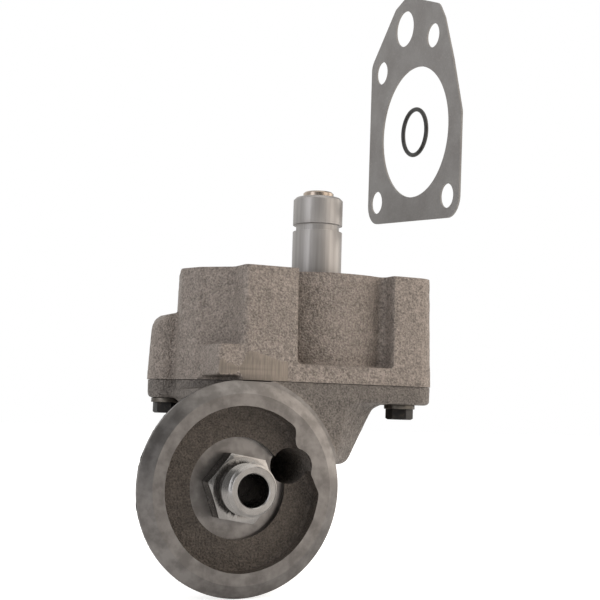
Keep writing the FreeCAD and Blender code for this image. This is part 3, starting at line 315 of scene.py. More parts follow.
def join(piece, others):
    """Make the other pieces part of the first one's mesh."""
    alone(piece)
    for other in others:
        other.select_set(True)
    bpy.ops.object.join()
    return piece


def add_stock(piece, axis, level, shift):
    """Move the points in one machined plane outwards, so that the casting has spare metal."""
    for point in piece.data.vertices:
        if abs(point.co[axis] - level * MM) < 0.01 * MM:
            point.co[axis] += shift * MM


def mould(piece, settings):
    """Rebuild a closed shape as a sand casting: rounded edges, slow waves and fine lumps."""
    apply_modifier(piece, "REMESH", mode="VOXEL", voxel_size=settings.cell, use_smooth_shade=True)
    apply_modifier(piece, "SMOOTH", factor=0.5, iterations=settings.rounding)
    for name, length, height in (("Mould waves", 9 * MM, settings.swell),
                                 ("Sand lumps", 1.8 * MM, settings.pebble)):
        waves = bpy.data.textures.new(name, "CLOUDS")
        waves.noise_scale = length
        waves.noise_depth = 2
        apply_modifier(piece, "DISPLACE", texture=waves, texture_coords="LOCAL", mid_level=0.5,
                       strength=height)
        bpy.data.textures.remove(waves)


def face_off(piece, point, normal):
    """Machine a plane: cut off what lies beyond it and close the cut."""
    edit_all(piece)
    bpy.ops.mesh.bisect(plane_co=Vector(point) * MM, plane_no=normal, use_fill=True,
                        clear_outer=True, threshold=0.0001 * MM)
    done_editing()


def finish_faces(piece, material, wanted):
    """Give a material to the faces that a test on centre (mm) and normal picks out."""
    piece.data.materials.append(material)
    index = len(piece.data.materials) - 1
    for face in piece.data.polygons:
        if wanted(face.center / MM, face.normal):
            face.material_index = index


def smooth_by_angle(piece, degrees=35):
    """Shade smooth, apart from edges sharper than this."""
    alone(piece)
    bpy.ops.object.shade_smooth_by_angle(angle=math.radians(degrees))


def crease(piece, wanted):
    """Keep the edges sharp whose two ends pass a test on their place in mm."""
    for edge in piece.data.edges:
        if all(wanted(piece.data.vertices[index].co / MM) for index in edge.vertices):
            edge.use_edge_sharp = True


def dress(node, material):
    """Give a CAD node its material."""
    part = NODES[node]
    part.data.materials.clear()
    part.data.materials.append(material)
    return part


def soften(node, width, material):
    """Break the sharp edges of a CAD node with live modifiers and give it its material."""
    part = dress(node, material)
    weld = part.modifiers.new("Weld", "WELD")
    weld.merge_threshold = NODE_WELD
    bevel = part.modifiers.new("Broken edge", "BEVEL")
    bevel.width = width
    bevel.segments = 3
    bevel.limit_method = "ANGLE"
    bevel.angle_limit = math.radians(35)
    bevel.harden_normals = False


# ---------------------------------------------------------------- materials

def add_node(tree, kind, inputs=None, **settings):
    """Add a shader node; an input is either a value or another node's output."""
    new = tree.nodes.new("ShaderNode" + kind)
    for key, value in settings.items():
        setattr(new, key, value)
    for key, value in (inputs or {}).items():
        if isinstance(value, bpy.types.NodeSocket):
            tree.links.new(value, new.inputs[key])
        else:
            new.inputs[key].default_value = value
    return new


def start_material(name, **shader_values):
    """An empty material with a Principled shader and Object coordinates."""
    material = bpy.data.materials.new(name)
    material.use_nodes = True
    tree = material.node_tree
    tree.nodes.clear()
    values = {key.replace("_", " "): value for key, value in shader_values.items()}
    shader = add_node(tree, "BsdfPrincipled", values)
    add_node(tree, "OutputMaterial", {"Surface": shader.outputs["BSDF"]})
    place = add_node(tree, "TexCoord").outputs["Object"]
    return material, tree, shader, place


def per_mm(size):
    """Texture scale for a feature of this many millimetres."""
    return 1000.0 / size


def wave_per_mm(spacing):
    """Scale of a wave texture whose crests are this many millimetres apart."""
    return per_mm(spacing) * math.tau / 20


def finish_surface(tree, shader, colours, roughness, relief):
    """Give a finish its two mixed colours, its uneven roughness and its relief.

    Each of the three starts with the pattern that drives it. For the first two, the part of
    the pattern's range that counts comes next, and then what it is spread over: the dark and
    the light colour, with the light one's greatest share, and two roughness values. The
    relief has its strength and its depth in millimetres.
    """
    pattern, low, high, dark, light, most = colours
    share = add_node(tree, "MapRange", {"Value": pattern, "From Min": low, "From Max": high,
                                        "To Max": most})
    mixed = add_node(tree, "Mix", {"Factor": share.outputs["Result"], 6: dark, 7: light},
                     data_type="RGBA")
    tree.links.new(mixed.outputs[2], shader.inputs["Base Color"])
    pattern, low, high, first, last = roughness
    rough = add_node(tree, "MapRange", {"Value": pattern, "From Min": low, "From Max": high,
                                        "To Min": first, "To Max": last})
    tree.links.new(rough.outputs["Result"], shader.inputs["Roughness"])
    pattern, strength, depth = relief
    bump = add_node(tree, "Bump", {"Height": pattern, "Strength": strength,
                                   "Distance": depth * MM})
    tree.links.new(bump.outputs["Normal"], shader.inputs["Normal"])


def sand_cast_iron(name, colour):
    # Bare grey iron from a sand mould: matt grey, with a pebbled grain near 1 mm that breaks
    # up every highlight. Its colour follows the grain's height: painted shade in the pits
    # between the grains and painted light on the peaks, over slow patches of random tone
    material, tree, shader, place = start_material(name, Metallic=0.35)
    grain, clumps, patches = (
        add_node(tree, "TexNoise", {"Vector": place, "Scale": per_mm(size), "Detail": detail,
                                    "Roughness": roughness}).outputs["Fac"]
        for size, detail, roughness in ((0.75, 2.0, 0.55), (2.6, 2.0, 0.5), (22.0, 3.0, 0.55)))
    levels = [grain]
    for pattern, sway in ((clumps, 0.08), (patches, 0.04)):
        swing = add_node(tree, "MapRange", {"Value": pattern, "From Min": 0.3, "From Max": 0.7,
                                            "To Min": -sway, "To Max": sway})
        levels.append(add_node(tree, "Math", {0: levels[-1], 1: swing.outputs["Result"]},
                               operation="ADD").outputs[0])
    # The colour follows the relief's height, so the pits get painted shade and the peaks painted
    # light
    height, tone_and_shade = levels[1:]
    light = tuple(min(c * 1.38, 1.0) for c in colour[:3]) + (1.0,)
    dark = tuple(c * 0.56 for c in colour[:3]) + (1.0,)
    finish_surface(tree, shader, (tone_and_shade, 0.28, 0.72, dark, light, 1.0),
                   (height, 0.3, 0.7, 0.7, 0.48), (height, 1.0, 0.8))
    return material


def milled_iron():
    # Grey iron faced with a fly cutter: brighter than the casting, with faint curved
    # tool marks, drawn 3 mm apart, much coarser than the real feed, so that they show
    material, tree, shader, place = start_material("Milled grey iron", Metallic=0.9)
    marks = add_node(tree, "TexWave", {"Vector": place, "Scale": wave_per_mm(3.1416),
                                       "Distortion": 1.5, "Detail": 2.0},
                     wave_type="RINGS", rings_direction="Z").outputs["Fac"]
    stain = add_node(tree, "TexNoise", {"Vector": place, "Scale": per_mm(9.0),
                                        "Detail": 3.0}).outputs["Fac"]
    finish_surface(tree, shader,
                   (stain, 0.35, 0.65, linear("#8b8680"), linear("#9d9892"), 1.0),
                   (marks, 0.0, 1.0, 0.34, 0.46), (marks, 0.25, 0.02))
    return material


def turned_land():
    # The filter's sealing ring, its bevel and the nipple's seat, faced on a lathe: smooth
    # and dark, with faint oil stains and rings round the filter's axis, drawn nearly 4 mm
    # apart, much coarser than the real feed, so that they show
    material, tree, shader, place = start_material("Turned grey iron", Metallic=1.0)
    centred = add_node(tree, "Mapping", {"Vector": place,
                                         "Location": (-FILTER_X * MM, 0.0, -FILTER_Z * MM)})
    rings = add_node(tree, "TexWave", {"Vector": centred.outputs["Vector"],
                                       "Scale": wave_per_mm(3.7699), "Distortion": 0.4},
                     wave_type="RINGS", rings_direction="Y").outputs["Fac"]
    stain = add_node(tree, "TexNoise", {"Vector": place, "Scale": per_mm(7.0), "Detail": 4.0,
                                        "Roughness": 0.6}).outputs["Fac"]
    finish_surface(tree, shader,
                   (stain, 0.4, 0.62, linear("#676462"), linear("#7e7b79"), 1.0),
                   (rings, 0.0, 1.0, 0.34, 0.4), (rings, 0.15, 0.02))
    return material


def ground_iron():
    # The gate was broken off and ground flush on a coarse wheel: a little brighter than
    # the casting, with upright scratches 0.5 mm apart
    material, tree, shader, place = start_material("Ground grey iron", Metallic=0.7)
    drawn_out = add_node(tree, "Mapping", {"Vector": place,
                                           "Scale": (per_mm(0.5), per_mm(0.5), per_mm(14.0))})
    scratches = add_node(tree, "TexNoise", {"Vector": drawn_out.outputs["Vector"], "Scale": 1.0,
                                            "Detail": 3.0, "Roughness": 0.6}).outputs["Fac"]
    finish_surface(tree, shader,
                   (scratches, 0.35, 0.65, linear("#7e766d"), linear("#91877e"), 1.0),
                   (scratches, 0.3, 0.7, 0.55, 0.42), (scratches, 0.35, 0.06))
    return material


def steel(name, dark, light, rough_low, rough_high, streak, grain=0.35):
    """Metal with streaks along Z; streak is their length and grain their width in mm."""
    material, tree, shader, place = start_material(name, Metallic=1.0)
    drawn_out = add_node(tree, "Mapping", {"Vector": place, "Scale": (per_mm(grain),
                                           per_mm(grain), per_mm(streak))})
    streaks = add_node(tree, "TexNoise", {"Vector": drawn_out.outputs["Vector"], "Scale": 1.0,
                                          "Detail": 2.0, "Roughness": 0.5}).outputs["Fac"]
    stain = add_node(tree, "TexNoise", {"Vector": place, "Scale": per_mm(5.0), "Detail": 4.0,
                                        "Roughness": 0.65}).outputs["Fac"]
    finish_surface(tree, shader, (stain, 0.3, 0.7, linear(dark), linear(light), 1.0),
                   (streaks, 0.3, 0.7, rough_low, rough_high), (streaks, 0.06, 0.02))
    return material


def pilot_iron():
    # Turned and ground grey iron: satin, with soft upright streaks of painted reflection and
    # rings from the wheel, drawn nearly 3 mm apart, coarser than real, so that they show
    material, tree, shader, place = start_material("Cylindrically ground iron", Metallic=0.6)
    rings = add_node(tree, "TexWave", {"Vector": place, "Scale": wave_per_mm(2.8274),
                                       "Distortion": 0.6, "Detail": 1.0},
                     wave_type="BANDS", bands_direction="Z").outputs["Fac"]
    # Painted reflection: long upright streaks in the colour, which also make the roughness uneven
    drawn_out = add_node(tree, "Mapping", {"Vector": place,
                                           "Scale": (per_mm(1.4), per_mm(1.4), per_mm(50.0))})
    reflection_streaks = add_node(tree, "TexNoise", {"Vector": drawn_out.outputs["Vector"], "Scale": 1.0,
                                        "Detail": 3.0}).outputs["Fac"]
    finish_surface(tree, shader,
                   (reflection_streaks, 0.35, 0.65, linear("#979492"), linear("#a5a2a0"), 1.0),
                   (reflection_streaks, 0.35, 0.65, 0.46, 0.4), (rings, 0.25, 0.01))
    return material


def black_oxide():
    # Heat-blackened steel: near black with a soft sheen and small brown bare spots
    material, tree, shader, place = start_material("Black-oxide steel", Metallic=0.6)
    spots = add_node(tree, "TexNoise", {"Vector": place, "Scale": per_mm(1.6), "Detail": 4.0,
                                        "Roughness": 0.65}).outputs["Fac"]
    finish_surface(tree, shader,
                   (spots, 0.5, 0.75, linear("#1f1e1d"), linear("#3b362f"), 1.0),
                   (spots, 0.3, 0.7, 0.38, 0.55), (spots, 0.2, 0.03))
    return material


def nitrile_rubber():
    # Moulded nitrile rubber: black, satin, with a faint bloom
    material, tree, shader, place = start_material("Nitrile rubber", Metallic=0.0, IOR=1.52)
    bloom = add_node(tree, "TexNoise", {"Vector": place, "Scale": per_mm(2.5), "Detail": 5.0,
                                        "Roughness": 0.6}).outputs["Fac"]
    finish_surface(tree, shader,
                   (bloom, 0.4, 0.75, linear("#171716"), linear("#2c2b29"), 1.0),
                   (bloom, 0.3, 0.7, 0.34, 0.5), (bloom, 0.12, 0.03))
    return material


def fibre_sheet(settings):
    # Compressed fibre gasket sheet: matt grey-brown with short fibres near 1 mm
    # and cloudy patches where the binder is thicker
    material, tree, shader, place = start_material("Fibre gasket sheet", Metallic=0.0, IOR=1.5)
    fibres = add_node(tree, "TexNoise", {"Vector": place, "Scale": per_mm(0.9), "Detail": 5.0,
                                         "Roughness": 0.72, "Distortion": 1.2}).outputs["Fac"]
    clouds = add_node(tree, "TexNoise", {"Vector": place, "Scale": per_mm(14.0), "Detail": 3.0,
                                         "Roughness": 0.55}).outputs["Fac"]
    thickness = add_node(tree, "MapRange", {"Value": clouds, "From Min": 0.35,
                                            "From Max": 0.65})
    binder = add_node(tree, "Mix", {"Factor": thickness.outputs["Result"],
                                    6: linear("#787573"), 7: tuple(settings.gasket)},
                      data_type="RGBA").outputs[2]
    finish_surface(tree, shader, (fibres, 0.5, 0.8, binder, linear("#9e9b98"), 0.5),
                   (fibres, 0.3, 0.7, 0.82, 0.66), (fibres, 0.35, 0.05))
    return material


def studio_paper():
    # Matt white background paper, lit from below as on a light table, with a faint tooth.
    # The camera sees it brighter than it lights the pump.
    material, tree, shader, place = start_material("Background paper", Roughness=0.9)
    tooth = add_node(tree, "TexNoise", {"Vector": place, "Scale": per_mm(3.0),
                                        "Detail": 2.0}).outputs["Fac"]
    share = add_node(tree, "MapRange", {"Value": tooth, "From Min": 0.3, "From Max": 0.7})
    mixed = add_node(tree, "Mix", {"Factor": share.outputs["Result"], 6: linear("#f8f8f8"),
                                   7: linear("#fcfcfc")}, data_type="RGBA")
    tree.links.new(mixed.outputs[2], shader.inputs["Base Color"])
    shader.inputs["Emission Color"].default_value = linear("#ffffff")
    seen = add_node(tree, "LightPath").outputs["Is Camera Ray"]
    glow = add_node(tree, "MapRange", {"Value": seen, "To Min": 0.05, "To Max": 0.6})
    tree.links.new(glow.outputs["Result"], shader.inputs["Emission Strength"])
    return material


# ---------------------------------------------------------------- pieces

class OILPUMP_OT_body_casting(bpy.types.Operator):
    """Cast the pump body and machine its faces and holes"""
    bl_idname = "oil_pump.body_casting"
    bl_label = "Pump body casting"

    def execute(self, context):
        settings = context.scene.oil_pump_casting
        body = node_copy("pump_body", "pump_body_casting")
        body.data.materials.append(sand_cast_iron("Sand-cast grey iron", settings.iron))
        add_stock(body, 2, 0.0, SPARE)
        add_stock(body, 2, JOINT, -SPARE)
        plugs = [bar("plug", TAP_PLUG, (x, y, -depth - 1), (x, y, SPARE))
                 for x, y, depth in TAPPED_HOLES]
        plugs.append(bar("plug", PASSAGE_PLUG, (PASSAGE_X, PASSAGE_Y, JOINT - SPARE),
                         (PASSAGE_X, PASSAGE_Y, SPARE)))
        plugs.append(bar("plug", SHAFT_PLUG, (0, 0, ABOVE_ROTORS), (0, 0, SPARE)))
        join(body, plugs)
        mould(body, settings)
        face_off(body, (0, 0, 0), (0, 0, 1))
        face_off(body, (0, 0, JOINT), (0, 0, -1))
        drills = [bar("drill", TAP_HOLE, (x, y, -depth), (x, y, 1))
                  for x, y, depth in TAPPED_HOLES]
        drills.append(bar("drill", PASSAGE_HOLE, (PASSAGE_X, PASSAGE_Y, JOINT - 1),
                          (PASSAGE_X, PASSAGE_Y, 1)))
        drills.append(bar("drill", SHAFT_HOLE, (0, 0, JOINT + 10), (0, 0, 1)))
        milled = milled_iron()
        cut_away(body, join(drills[0], drills[1:]), milled)
        cut_away(body, self.gate_wheel(), ground_iron())
        finish_faces(body, milled, lambda p, n: p.z > -HAIR or p.z < JOINT + HAIR)
        smooth_by_angle(body)
        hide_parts("pump_body")
        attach(body, "housing")
        return {"FINISHED"}

    def gate_wheel(self):
        """The rim of the grinding wheel that took off the gate, held a little askew."""
        front = GATE_FACE + GATE_DEPTH - WHEEL_RADIUS
        return bar("wheel", WHEEL_RADIUS, (GATE_LEFT, front, GATE_MIDDLE),
                   (GATE_RIGHT, front - WHEEL_TILT, GATE_MIDDLE), sides=720)


class OILPUMP_OT_pilot(bpy.types.Operator):
    """Turn the pilot with its ring groove, on top of the casting"""
    bl_idname = "oil_pump.pilot"
    bl_label = "Pilot"

    def execute(self, context):
        piece = lathe("pilot", [
            (SHAFT_HOLE, -1.0), (PILOT, -1.0),
            (PILOT, GROOVE_LOW), (GROOVE + 0.2, GROOVE_LOW), (GROOVE, GROOVE_LOW + 0.2),
            (GROOVE, GROOVE_HIGH - 0.2), (GROOVE + 0.2, GROOVE_HIGH), (PILOT, GROOVE_HIGH),
            (PILOT, PILOT_TOP - 1.1), (PILOT - 1.1, PILOT_TOP), (6.8, PILOT_TOP),
            (SHAFT_HOLE, PILOT_TOP - 0.4)])
        piece.data.materials.append(pilot_iron())
        apply_modifier(piece, "BEVEL", width=0.12 * MM, segments=2, limit_method="ANGLE",
                       angle_limit=math.radians(30))
        smooth_by_angle(piece)
        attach(piece, "housing")
        return {"FINISHED"}


class OILPUMP_OT_filter_base(bpy.types.Operator):
    """Cast the filter base and machine its land, seat, ports and joint face"""
    bl_idname = "oil_pump.filter_base"
    bl_label = "Filter base casting"

    def execute(self, context):
        settings = context.scene.oil_pump_casting
        base = node_copy("filter_base", "filter_base_casting")
        base.data.materials.append(sand_cast_iron("Sand-cast grey iron, base",
                                                  settings.iron_base))
        add_stock(base, 2, JOINT, SPARE)
        add_stock(base, 1, LAND, -SPARE)
        plugs = [bar("plug", SEAT_PLUG, (FILTER_X, BOWL_FLOOR, FILTER_Z),
                     (FILTER_X, BORE_END, FILTER_Z)),
                 bar("plug", PORT_PLUG, (PORT_X, BOWL_FLOOR, PORT_Z), (PORT_X, -2, PORT_Z)),
                 bar("plug", PASSAGE_PLUG, (PASSAGE_X, PASSAGE_Y, JOINT - 10),
                     (PASSAGE_X, PASSAGE_Y, JOINT + SPARE))]
        rim = lathe("plug", [(BOWL_REACH, SPARE), (RIM_STOCK, SPARE), (RIM_STOCK, RIM_BACK),
                             (BOWL_REACH, RIM_BACK)])
        place_filter_axis(rim)
        join(base, plugs + [rim])
        mould(base, settings)
        face_off(base, (0, 0, JOINT), (0, 0, 1))
        self.open_joint(base)
        finish_faces(base, sand_cast_iron("Sand-cast grey iron, bowl", settings.iron_bowl),
                     self.in_bowl)
        turned = turned_land()
        facing = lathe("facing", [(46.0, RIM_BACK - 0.4), (RIM, RIM_BACK - 0.4),
                                  (RIM, BEVEL_END), (LAND_RIM, 0.0), (24.0, 0.0), (24.0, 6.0),
                                  (46.0, 6.0)], sides=192)
        place_filter_axis(facing)
        cut_away(base, facing, turned)
        cut_away(base, bar("seat", SEAT_HOLE, (FILTER_X, -60, FILTER_Z),
                           (FILTER_X, SEAT, FILTER_Z)), turned)
        cut_away(base, bar("bore", NIPPLE_HOLE, (FILTER_X, -61, FILTER_Z),
                           (FILTER_X, BORE_END, FILTER_Z)), turned)
        milled = milled_iron()
        # The port is cast, so its wall keeps the base's own skin
        cut_away(base, bar("drill", PORT_HOLE, (PORT_X, -60, PORT_Z), (PORT_X, 4, PORT_Z)))
        cut_away(base, bar("drill", PASSAGE_HOLE, (PASSAGE_X, PASSAGE_Y, JOINT - 12),
                           (PASSAGE_X, PASSAGE_Y, JOINT + 1)), milled)
        finish_faces(base, milled, lambda p, n: p.z > JOINT - HAIR)
        smooth_by_angle(base)
        drop_slivers(base)
        crease(base, lambda p: abs(p.y - LAND) < HAIR
               and abs(math.hypot(p.x - FILTER_X, p.z - FILTER_Z) - LAND_RIM) < 0.05)
        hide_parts("filter_base")
        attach(base, "housing")
        return {"FINISHED"}

    def in_bowl(self, p, n):
        """Is this face on the bowl's floor or wall?"""
        return math.hypot(p.x - FILTER_X, p.z - FILTER_Z) < BOWL_REACH \
            and LAND + 0.1 < p.y < BOWL_FLOOR + 3.0

    def open_joint(self, base):
        """Break the plate's upper edge, so that the joint shows as a thin dark line."""
        # Only the plate's own rim counts, not the walls of the rotors' ports, the passage or
        # the bolt holes, which lie inside these circles
        walls = {index for face in base.data.polygons if abs(face.normal.z) < 0.7
                 for index in face.vertices}
        for index in walls:
            point = base.data.vertices[index].co
            x, y, z = (value / MM for value in point)
            outside = math.hypot(x, y - ROTOR_Y) > 36.0 \
                and math.hypot(x - PASSAGE_X, y - PASSAGE_Y) > 11.5 \
                and all(math.hypot(x - bolt_x, y - bolt_y) > 4.2
                        for bolt_x, bolt_y in COVER_BOLTS)
            if outside and abs(z - JOINT) < HAIR / 2:
                point.z -= 0.5 * MM


class OILPUMP_OT_filter_nipple(bpy.types.Operator):
    """Turn the filter nipple with its hexagon and cut its thread"""
    bl_idname = "oil_pump.filter_nipple"
    bl_label = "Filter nipple"

    def execute(self, context):
        settings = context.scene.oil_pump_finish
        nipple = self.thread(settings.thread_pitch / MM)
        join(nipple, [self.hexagon()])
        place_filter_axis(nipple)
        # Turned steel with bright zinc on it: nearly mirror-like, even in colour, with faint
        # turning streaks 0.6 mm wide
        nipple.data.materials.append(steel("Zinc-plated steel", "#868482", "#989694",
                                           0.2, 0.28, 9.0, 0.6))
        smooth_by_angle(nipple, 30)
        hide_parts("filter_nipple")
        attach(nipple, "housing")
        return {"FINISHED"}

    def thread(self, pitch):
        """The threaded tube: a tooth profile screwed up its axis, trimmed and bored."""
        # A thread of this kind is 0.61 of its pitch deep, with an eighth of it flat at the crest
        crest, root = NIPPLE_THREAD, NIPPLE_THREAD - 0.61 * pitch
        flat = pitch / 8
        low, high = NIPPLE_BACK, NIPPLE_FRONT
        alone(None)
        bpy.ops.mesh.primitive_plane_add(size=MM)
        tube = bpy.context.object
        tube.name = tube.data.name = "filter_nipple_threaded"
        edit_all(tube)
        bpy.ops.mesh.merge(type="CENTER")
        bpy.ops.transform.translate(value=(root * MM, 0, (low - 2 * pitch) * MM))
        rise = (pitch - 2 * flat) / 2
        for tooth in range(math.ceil((high - low) / pitch) + 3):
            for out, up in ((0, flat), (crest - root, rise), (0, flat), (root - crest, rise)):
                bpy.ops.mesh.extrude_vertices_move(
                    TRANSFORM_OT_translate={"value": (out * MM, 0, up * MM)})
        done_editing()
        apply_modifier(tube, "SCREW", axis="Z", angle=math.tau, screw_offset=pitch * MM,
                       steps=72, render_steps=72, use_normal_calculate=True)
        edit_all(tube)
        bpy.ops.mesh.remove_doubles(threshold=0.002 * MM)
        done_editing()
        face_off(tube, (0, 0, low), (0, 0, -1))
        face_off(tube, (0, 0, high), (0, 0, 1))
        edit_all(tube)
        bpy.ops.mesh.normals_make_consistent(inside=False)
        done_editing()
        # Chamfer both ends, turn the run-out groove at the collar and bore the tube
        envelope = lathe("envelope", [(3.0, low), (8.25, low), (9.7, low + 1.45), (9.7, -1.6),
                                      (8.5, -0.9), (8.5, 0.5), (9.7, 1.4), (9.7, high - 1.3),
                                      (8.4, high), (3.0, high)], sides=72)
        apply_modifier(tube, "BOOLEAN", operation="INTERSECT", solver="EXACT", object=envelope)
        remove(envelope)
        bore = lathe("bore", [(1.0, low - 1), (NIPPLE_BORE, low - 1),
                              (NIPPLE_BORE, high - 0.35), (NIPPLE_MOUTH, high + 0.4),
                              (1.0, high + 0.4)], sides=72)
        cut_away(tube, bore)
        return tube

    def hexagon(self):
        """The collar: a hexagon with its corners turned off."""
        alone(None)
        bpy.ops.mesh.primitive_cylinder_add(
            vertices=6, radius=COLLAR_FLATS / math.sqrt(3) * MM,
            depth=COLLAR_THICK * MM,
            location=(0, 0, (COLLAR_BACK + COLLAR_THICK / 2) * MM))
        collar = bpy.context.object
        collar.rotation_euler[2] = math.radians(COLLAR_TURN)
        bpy.ops.object.transform_apply()
        cone = lathe("cone", [(1.0, COLLAR_BACK), (20.0, COLLAR_BACK), (20.0, -4.0),
                              (11.75, COLLAR_FRONT), (1.0, COLLAR_FRONT)])
        apply_modifier(collar, "BOOLEAN", operation="INTERSECT", solver="EXACT", object=cone)
        remove(cone)
        cut_away(collar, bar("drill", 8.0, (0, 0, -12), (0, 0, 4)))
        apply_modifier(collar, "BEVEL", width=0.25 * MM, segments=2, limit_method="ANGLE",
                       angle_limit=math.radians(20))
        return collar


class OILPUMP_OT_fasteners(bpy.types.Operator):
    """Finish the cover bolts and their lock washers"""
    bl_idname = "oil_pump.fasteners"
    bl_label = "Cover bolts and washers"

    def execute(self, context):
        settings = context.scene.oil_pump_finish
        black = black_oxide()
        # Spring steel with a phosphate skin: dark warm grey, dull, with a short fine grain
        grey = steel("Phosphated spring steel", "#4a4743", "#6a655f", 0.3, 0.45, 1.5)
        for number in range(1, 5):
            bolt = node_copy("cover_bolt_%d" % number, "cover_bolt_forged_%d" % number)
            bolt.data.materials.append(black)
            apply_modifier(bolt, "BEVEL", width=settings.head_edge, segments=3,
                           limit_method="ANGLE", angle_limit=math.radians(35))
            smooth_by_angle(bolt, 40)
            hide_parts("cover_bolt_%d" % number)
            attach(bolt, "housing")
            soften("lock_washer_%d" % number, settings.edge, grey)
        return {"FINISHED"}


class OILPUMP_OT_seals(bpy.types.Operator):
    """Finish the mounting gasket, the O-ring and the ring seals of the joint"""
    bl_idname = "oil_pump.seals"
    bl_label = "Gasket and seals"

    def execute(self, context):
        settings = context.scene.oil_pump_finish
        rubber = nitrile_rubber()
        for node in ("pilot_o_ring", "base_seal_ring", "passage_seal_ring"):
            dress(node, rubber)
        dress("mounting_gasket", fibre_sheet(settings))
        return {"FINISHED"}


class OILPUMP_OT_rotors(bpy.types.Operator):
    """Finish the drive shaft and the two rotors"""
    bl_idname = "oil_pump.rotors"
    bl_label = "Drive shaft and rotors"

    def execute(self, context):
        settings = context.scene.oil_pump_finish
        # Shaft steel ground along its length: long streaks and a faint straw tint
        soften("drive_shaft", settings.edge,
               steel("Ground shaft steel", "#8f857b", "#c4b6a8", 0.22, 0.36, 30.0))
        # Pressed and sintered steel, ground on its faces: grey, dull and slightly cloudy
        sintered = steel("Sintered steel", "#6d6b68", "#95928d", 0.4, 0.58, 1.5, 0.6)
        for node in ("inner_rotor", "outer_rotor"):
            dress(node, sintered)
        return {"FINISHED"}


class OILPUMP_OT_relief_valve(bpy.types.Operator):
    """Finish the relief valve's plunger, spring, plug and washer"""
    bl_idname = "oil_pump.relief_valve"
    bl_label = "Relief valve"

    def execute(self, context):
        settings = context.scene.oil_pump_finish
        # Turned bar with bright zinc on it: pale, with a cloudy yellow-grey bloom
        soften("relief_plug", settings.edge,
               steel("Plated plug steel", "#8a8780", "#c4c0b8", 0.3, 0.45, 8.0))
        # Hardened and ground: bright, with long fine streaks
        soften("relief_plunger", settings.edge,
               steel("Hardened steel", "#7d7b78", "#b5b3af", 0.16, 0.3, 20.0))
        # Drawn wire tempered in oil: nearly black, with a satin sheen
        dress("relief_spring",
              steel("Oil-tempered spring wire", "#3a3836", "#6c6966", 0.3, 0.45, 2.0))
        # Soft copper: red-brown and dull, with darker stains
        dress("relief_plug_gasket",
              steel("Annealed copper", "#8c4f35", "#c07a58", 0.3, 0.5, 3.0))
        # The spring's front and back ends are found and it gets a mesh of its own; nothing closes
        # it up
        spring = NODES["relief_spring"]
        places = [point.co for point in spring.data.vertices]
        front, back = (pick(place.y for place in places) for pick in (min, max))
        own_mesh(spring)
        return {"FINISHED"}


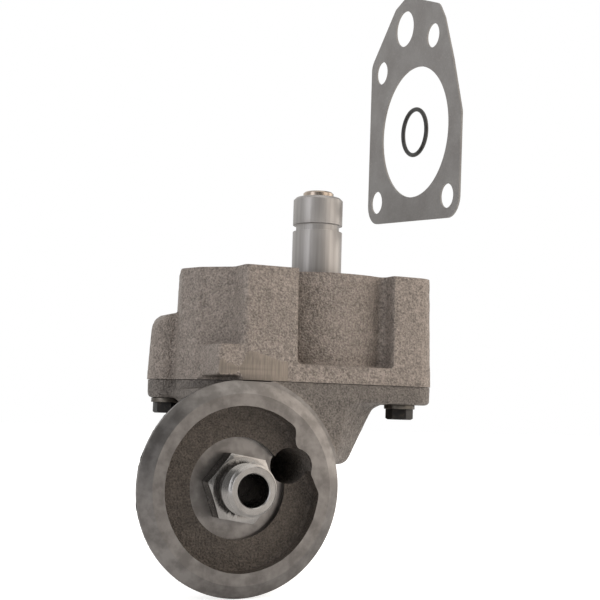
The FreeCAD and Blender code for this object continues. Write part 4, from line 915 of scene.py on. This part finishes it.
class OILPUMP_OT_stage(bpy.types.Operator):
    """Set the floor, the lights, the surroundings and the camera"""
    bl_idname = "oil_pump.stage"
    bl_label = "Studio"

    def execute(self, context):
        settings = context.scene.oil_pump_studio
        low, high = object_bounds()
        alone(None)
        bpy.ops.mesh.primitive_plane_add(size=8.0, location=(0, 0, low[2] - 0.0002))
        floor = context.object
        floor.name = "floor"
        bpy.ops.object.transform_apply()
        floor.data.materials.append(studio_paper())
        floor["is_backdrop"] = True
        self.surroundings(context)
        self.lamp("right", 58, 20, (1.3, 0.9), settings.right_power, "#fff3e6")
        self.lamp("left", -72, 15, (0.3, 0.9), settings.left_power, "#f8f9ff")
        self.lamp("top", 10, 70, (0.7, 0.7), settings.top_power, "#fffaf3")
        self.camera(context, settings.lens)
        return {"FINISHED"}

    def surroundings(self, context):
        """A dim room behind the camera; the camera itself sees white paper."""
        world = bpy.data.worlds.new("Studio")
        context.scene.world = world
        world.use_nodes = True
        tree = world.node_tree
        tree.nodes.clear()
        way = add_node(tree, "SeparateXYZ", {"Vector": add_node(tree, "TexCoord")
                                             .outputs["Generated"]})
        depth = add_node(tree, "MapRange", {"Value": way.outputs["Y"], "From Min": -1.0,
                                            "From Max": 0.6, "To Min": 0.2, "To Max": 0.9})
        room = add_node(tree, "Background", {"Color": linear("#fbfaf8"),
                                             "Strength": depth.outputs["Result"]})
        white = add_node(tree, "Background", {"Color": linear("#ffffff"), "Strength": 1.0})
        seen = add_node(tree, "LightPath").outputs["Is Camera Ray"]
        both = add_node(tree, "MixShader", {0: seen, 1: room.outputs["Background"],
                                            2: white.outputs["Background"]})
        add_node(tree, "OutputWorld", {"Surface": both.outputs["Shader"]})

    def lamp(self, name, turn, rise, size, power, colour):
        """A large soft lamp; turn and rise are its direction from the pump in degrees."""
        turn, rise = math.radians(turn), math.radians(rise)
        way = Vector((math.sin(turn) * math.cos(rise), -math.cos(turn) * math.cos(rise),
                      math.sin(rise)))
        alone(None)
        bpy.ops.object.light_add(type="AREA", location=Vector(LIT_POINT) * MM
                                + LAMP_DISTANCE * way)
        lamp = bpy.context.object
        lamp.name = name
        lamp.rotation_euler = way.to_track_quat("Z", "Y").to_euler()
        lamp.data.shape = "RECTANGLE"
        lamp.data.size, lamp.data.size_y = size
        lamp.data.energy = power
        lamp.data.color = linear(colour)[:3]

    def camera(self, context, lens):
        """The camera looks slightly up from the front left, and is rolled a little."""
        heading, pitch, roll = (math.radians(turn) for turn in CAMERA_TURN)
        ahead = Vector((math.sin(heading) * math.cos(pitch), math.cos(heading) * math.cos(pitch),
                        math.sin(pitch)))
        level = Vector((math.cos(heading), -math.sin(heading), 0))
        above = level.cross(ahead)
        right = math.cos(roll) * level + math.sin(roll) * above
        up = -math.sin(roll) * level + math.cos(roll) * above
        bpy.ops.object.camera_add(location=CAMERA_PLACE)
        camera = context.object
        turn = Matrix((right, up, -ahead)).transposed()
        camera.rotation_euler = turn.to_euler()
        camera.data.sensor_width = 36.0
        camera.data.lens = lens
        camera.data.clip_start = 0.01
        context.scene.camera = camera
        context.scene.view_settings.view_transform = "Standard"


class OILPUMP_PT_panel(bpy.types.Panel):
    """The pump's pieces and their settings"""
    bl_idname = "OILPUMP_PT_panel"
    bl_label = "Oil pump"
    bl_space_type = "VIEW_3D"
    bl_region_type = "UI"
    bl_category = "Oil pump"

    def draw(self, context):
        for group in (context.scene.oil_pump_casting, context.scene.oil_pump_finish,
                      context.scene.oil_pump_studio):
            box = self.layout.box()
            for word in group.__annotations__:
                box.prop(group, word)
        for piece in PIECES:
            self.layout.operator(piece.bl_idname)


PIECES = (OILPUMP_OT_body_casting, OILPUMP_OT_pilot, OILPUMP_OT_filter_base,
          OILPUMP_OT_filter_nipple, OILPUMP_OT_fasteners, OILPUMP_OT_seals, OILPUMP_OT_rotors,
          OILPUMP_OT_relief_valve, OILPUMP_OT_stage)
CLASSES = (CastingSettings, FinishSettings, StudioSettings) + PIECES + (OILPUMP_PT_panel,)


def register():
    for item in CLASSES:
        bpy.utils.register_class(item)
    bpy.types.Scene.oil_pump_casting = PointerProperty(type=CastingSettings)
    bpy.types.Scene.oil_pump_finish = PointerProperty(type=FinishSettings)
    bpy.types.Scene.oil_pump_studio = PointerProperty(type=StudioSettings)


def unregister():
    del bpy.types.Scene.oil_pump_casting
    del bpy.types.Scene.oil_pump_finish
    del bpy.types.Scene.oil_pump_studio
    for item in reversed(CLASSES):
        bpy.utils.unregister_class(item)


def main():
    """Make every piece and the stage."""
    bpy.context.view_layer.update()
    register()
    bpy.ops.oil_pump.body_casting()
    bpy.ops.oil_pump.pilot()
    bpy.ops.oil_pump.filter_base()
    bpy.ops.oil_pump.filter_nipple()
    bpy.ops.oil_pump.fasteners()
    bpy.ops.oil_pump.seals()
    bpy.ops.oil_pump.rotors()
    bpy.ops.oil_pump.relief_valve()
    bpy.ops.oil_pump.stage()


if __name__ == "__main__":
    main()
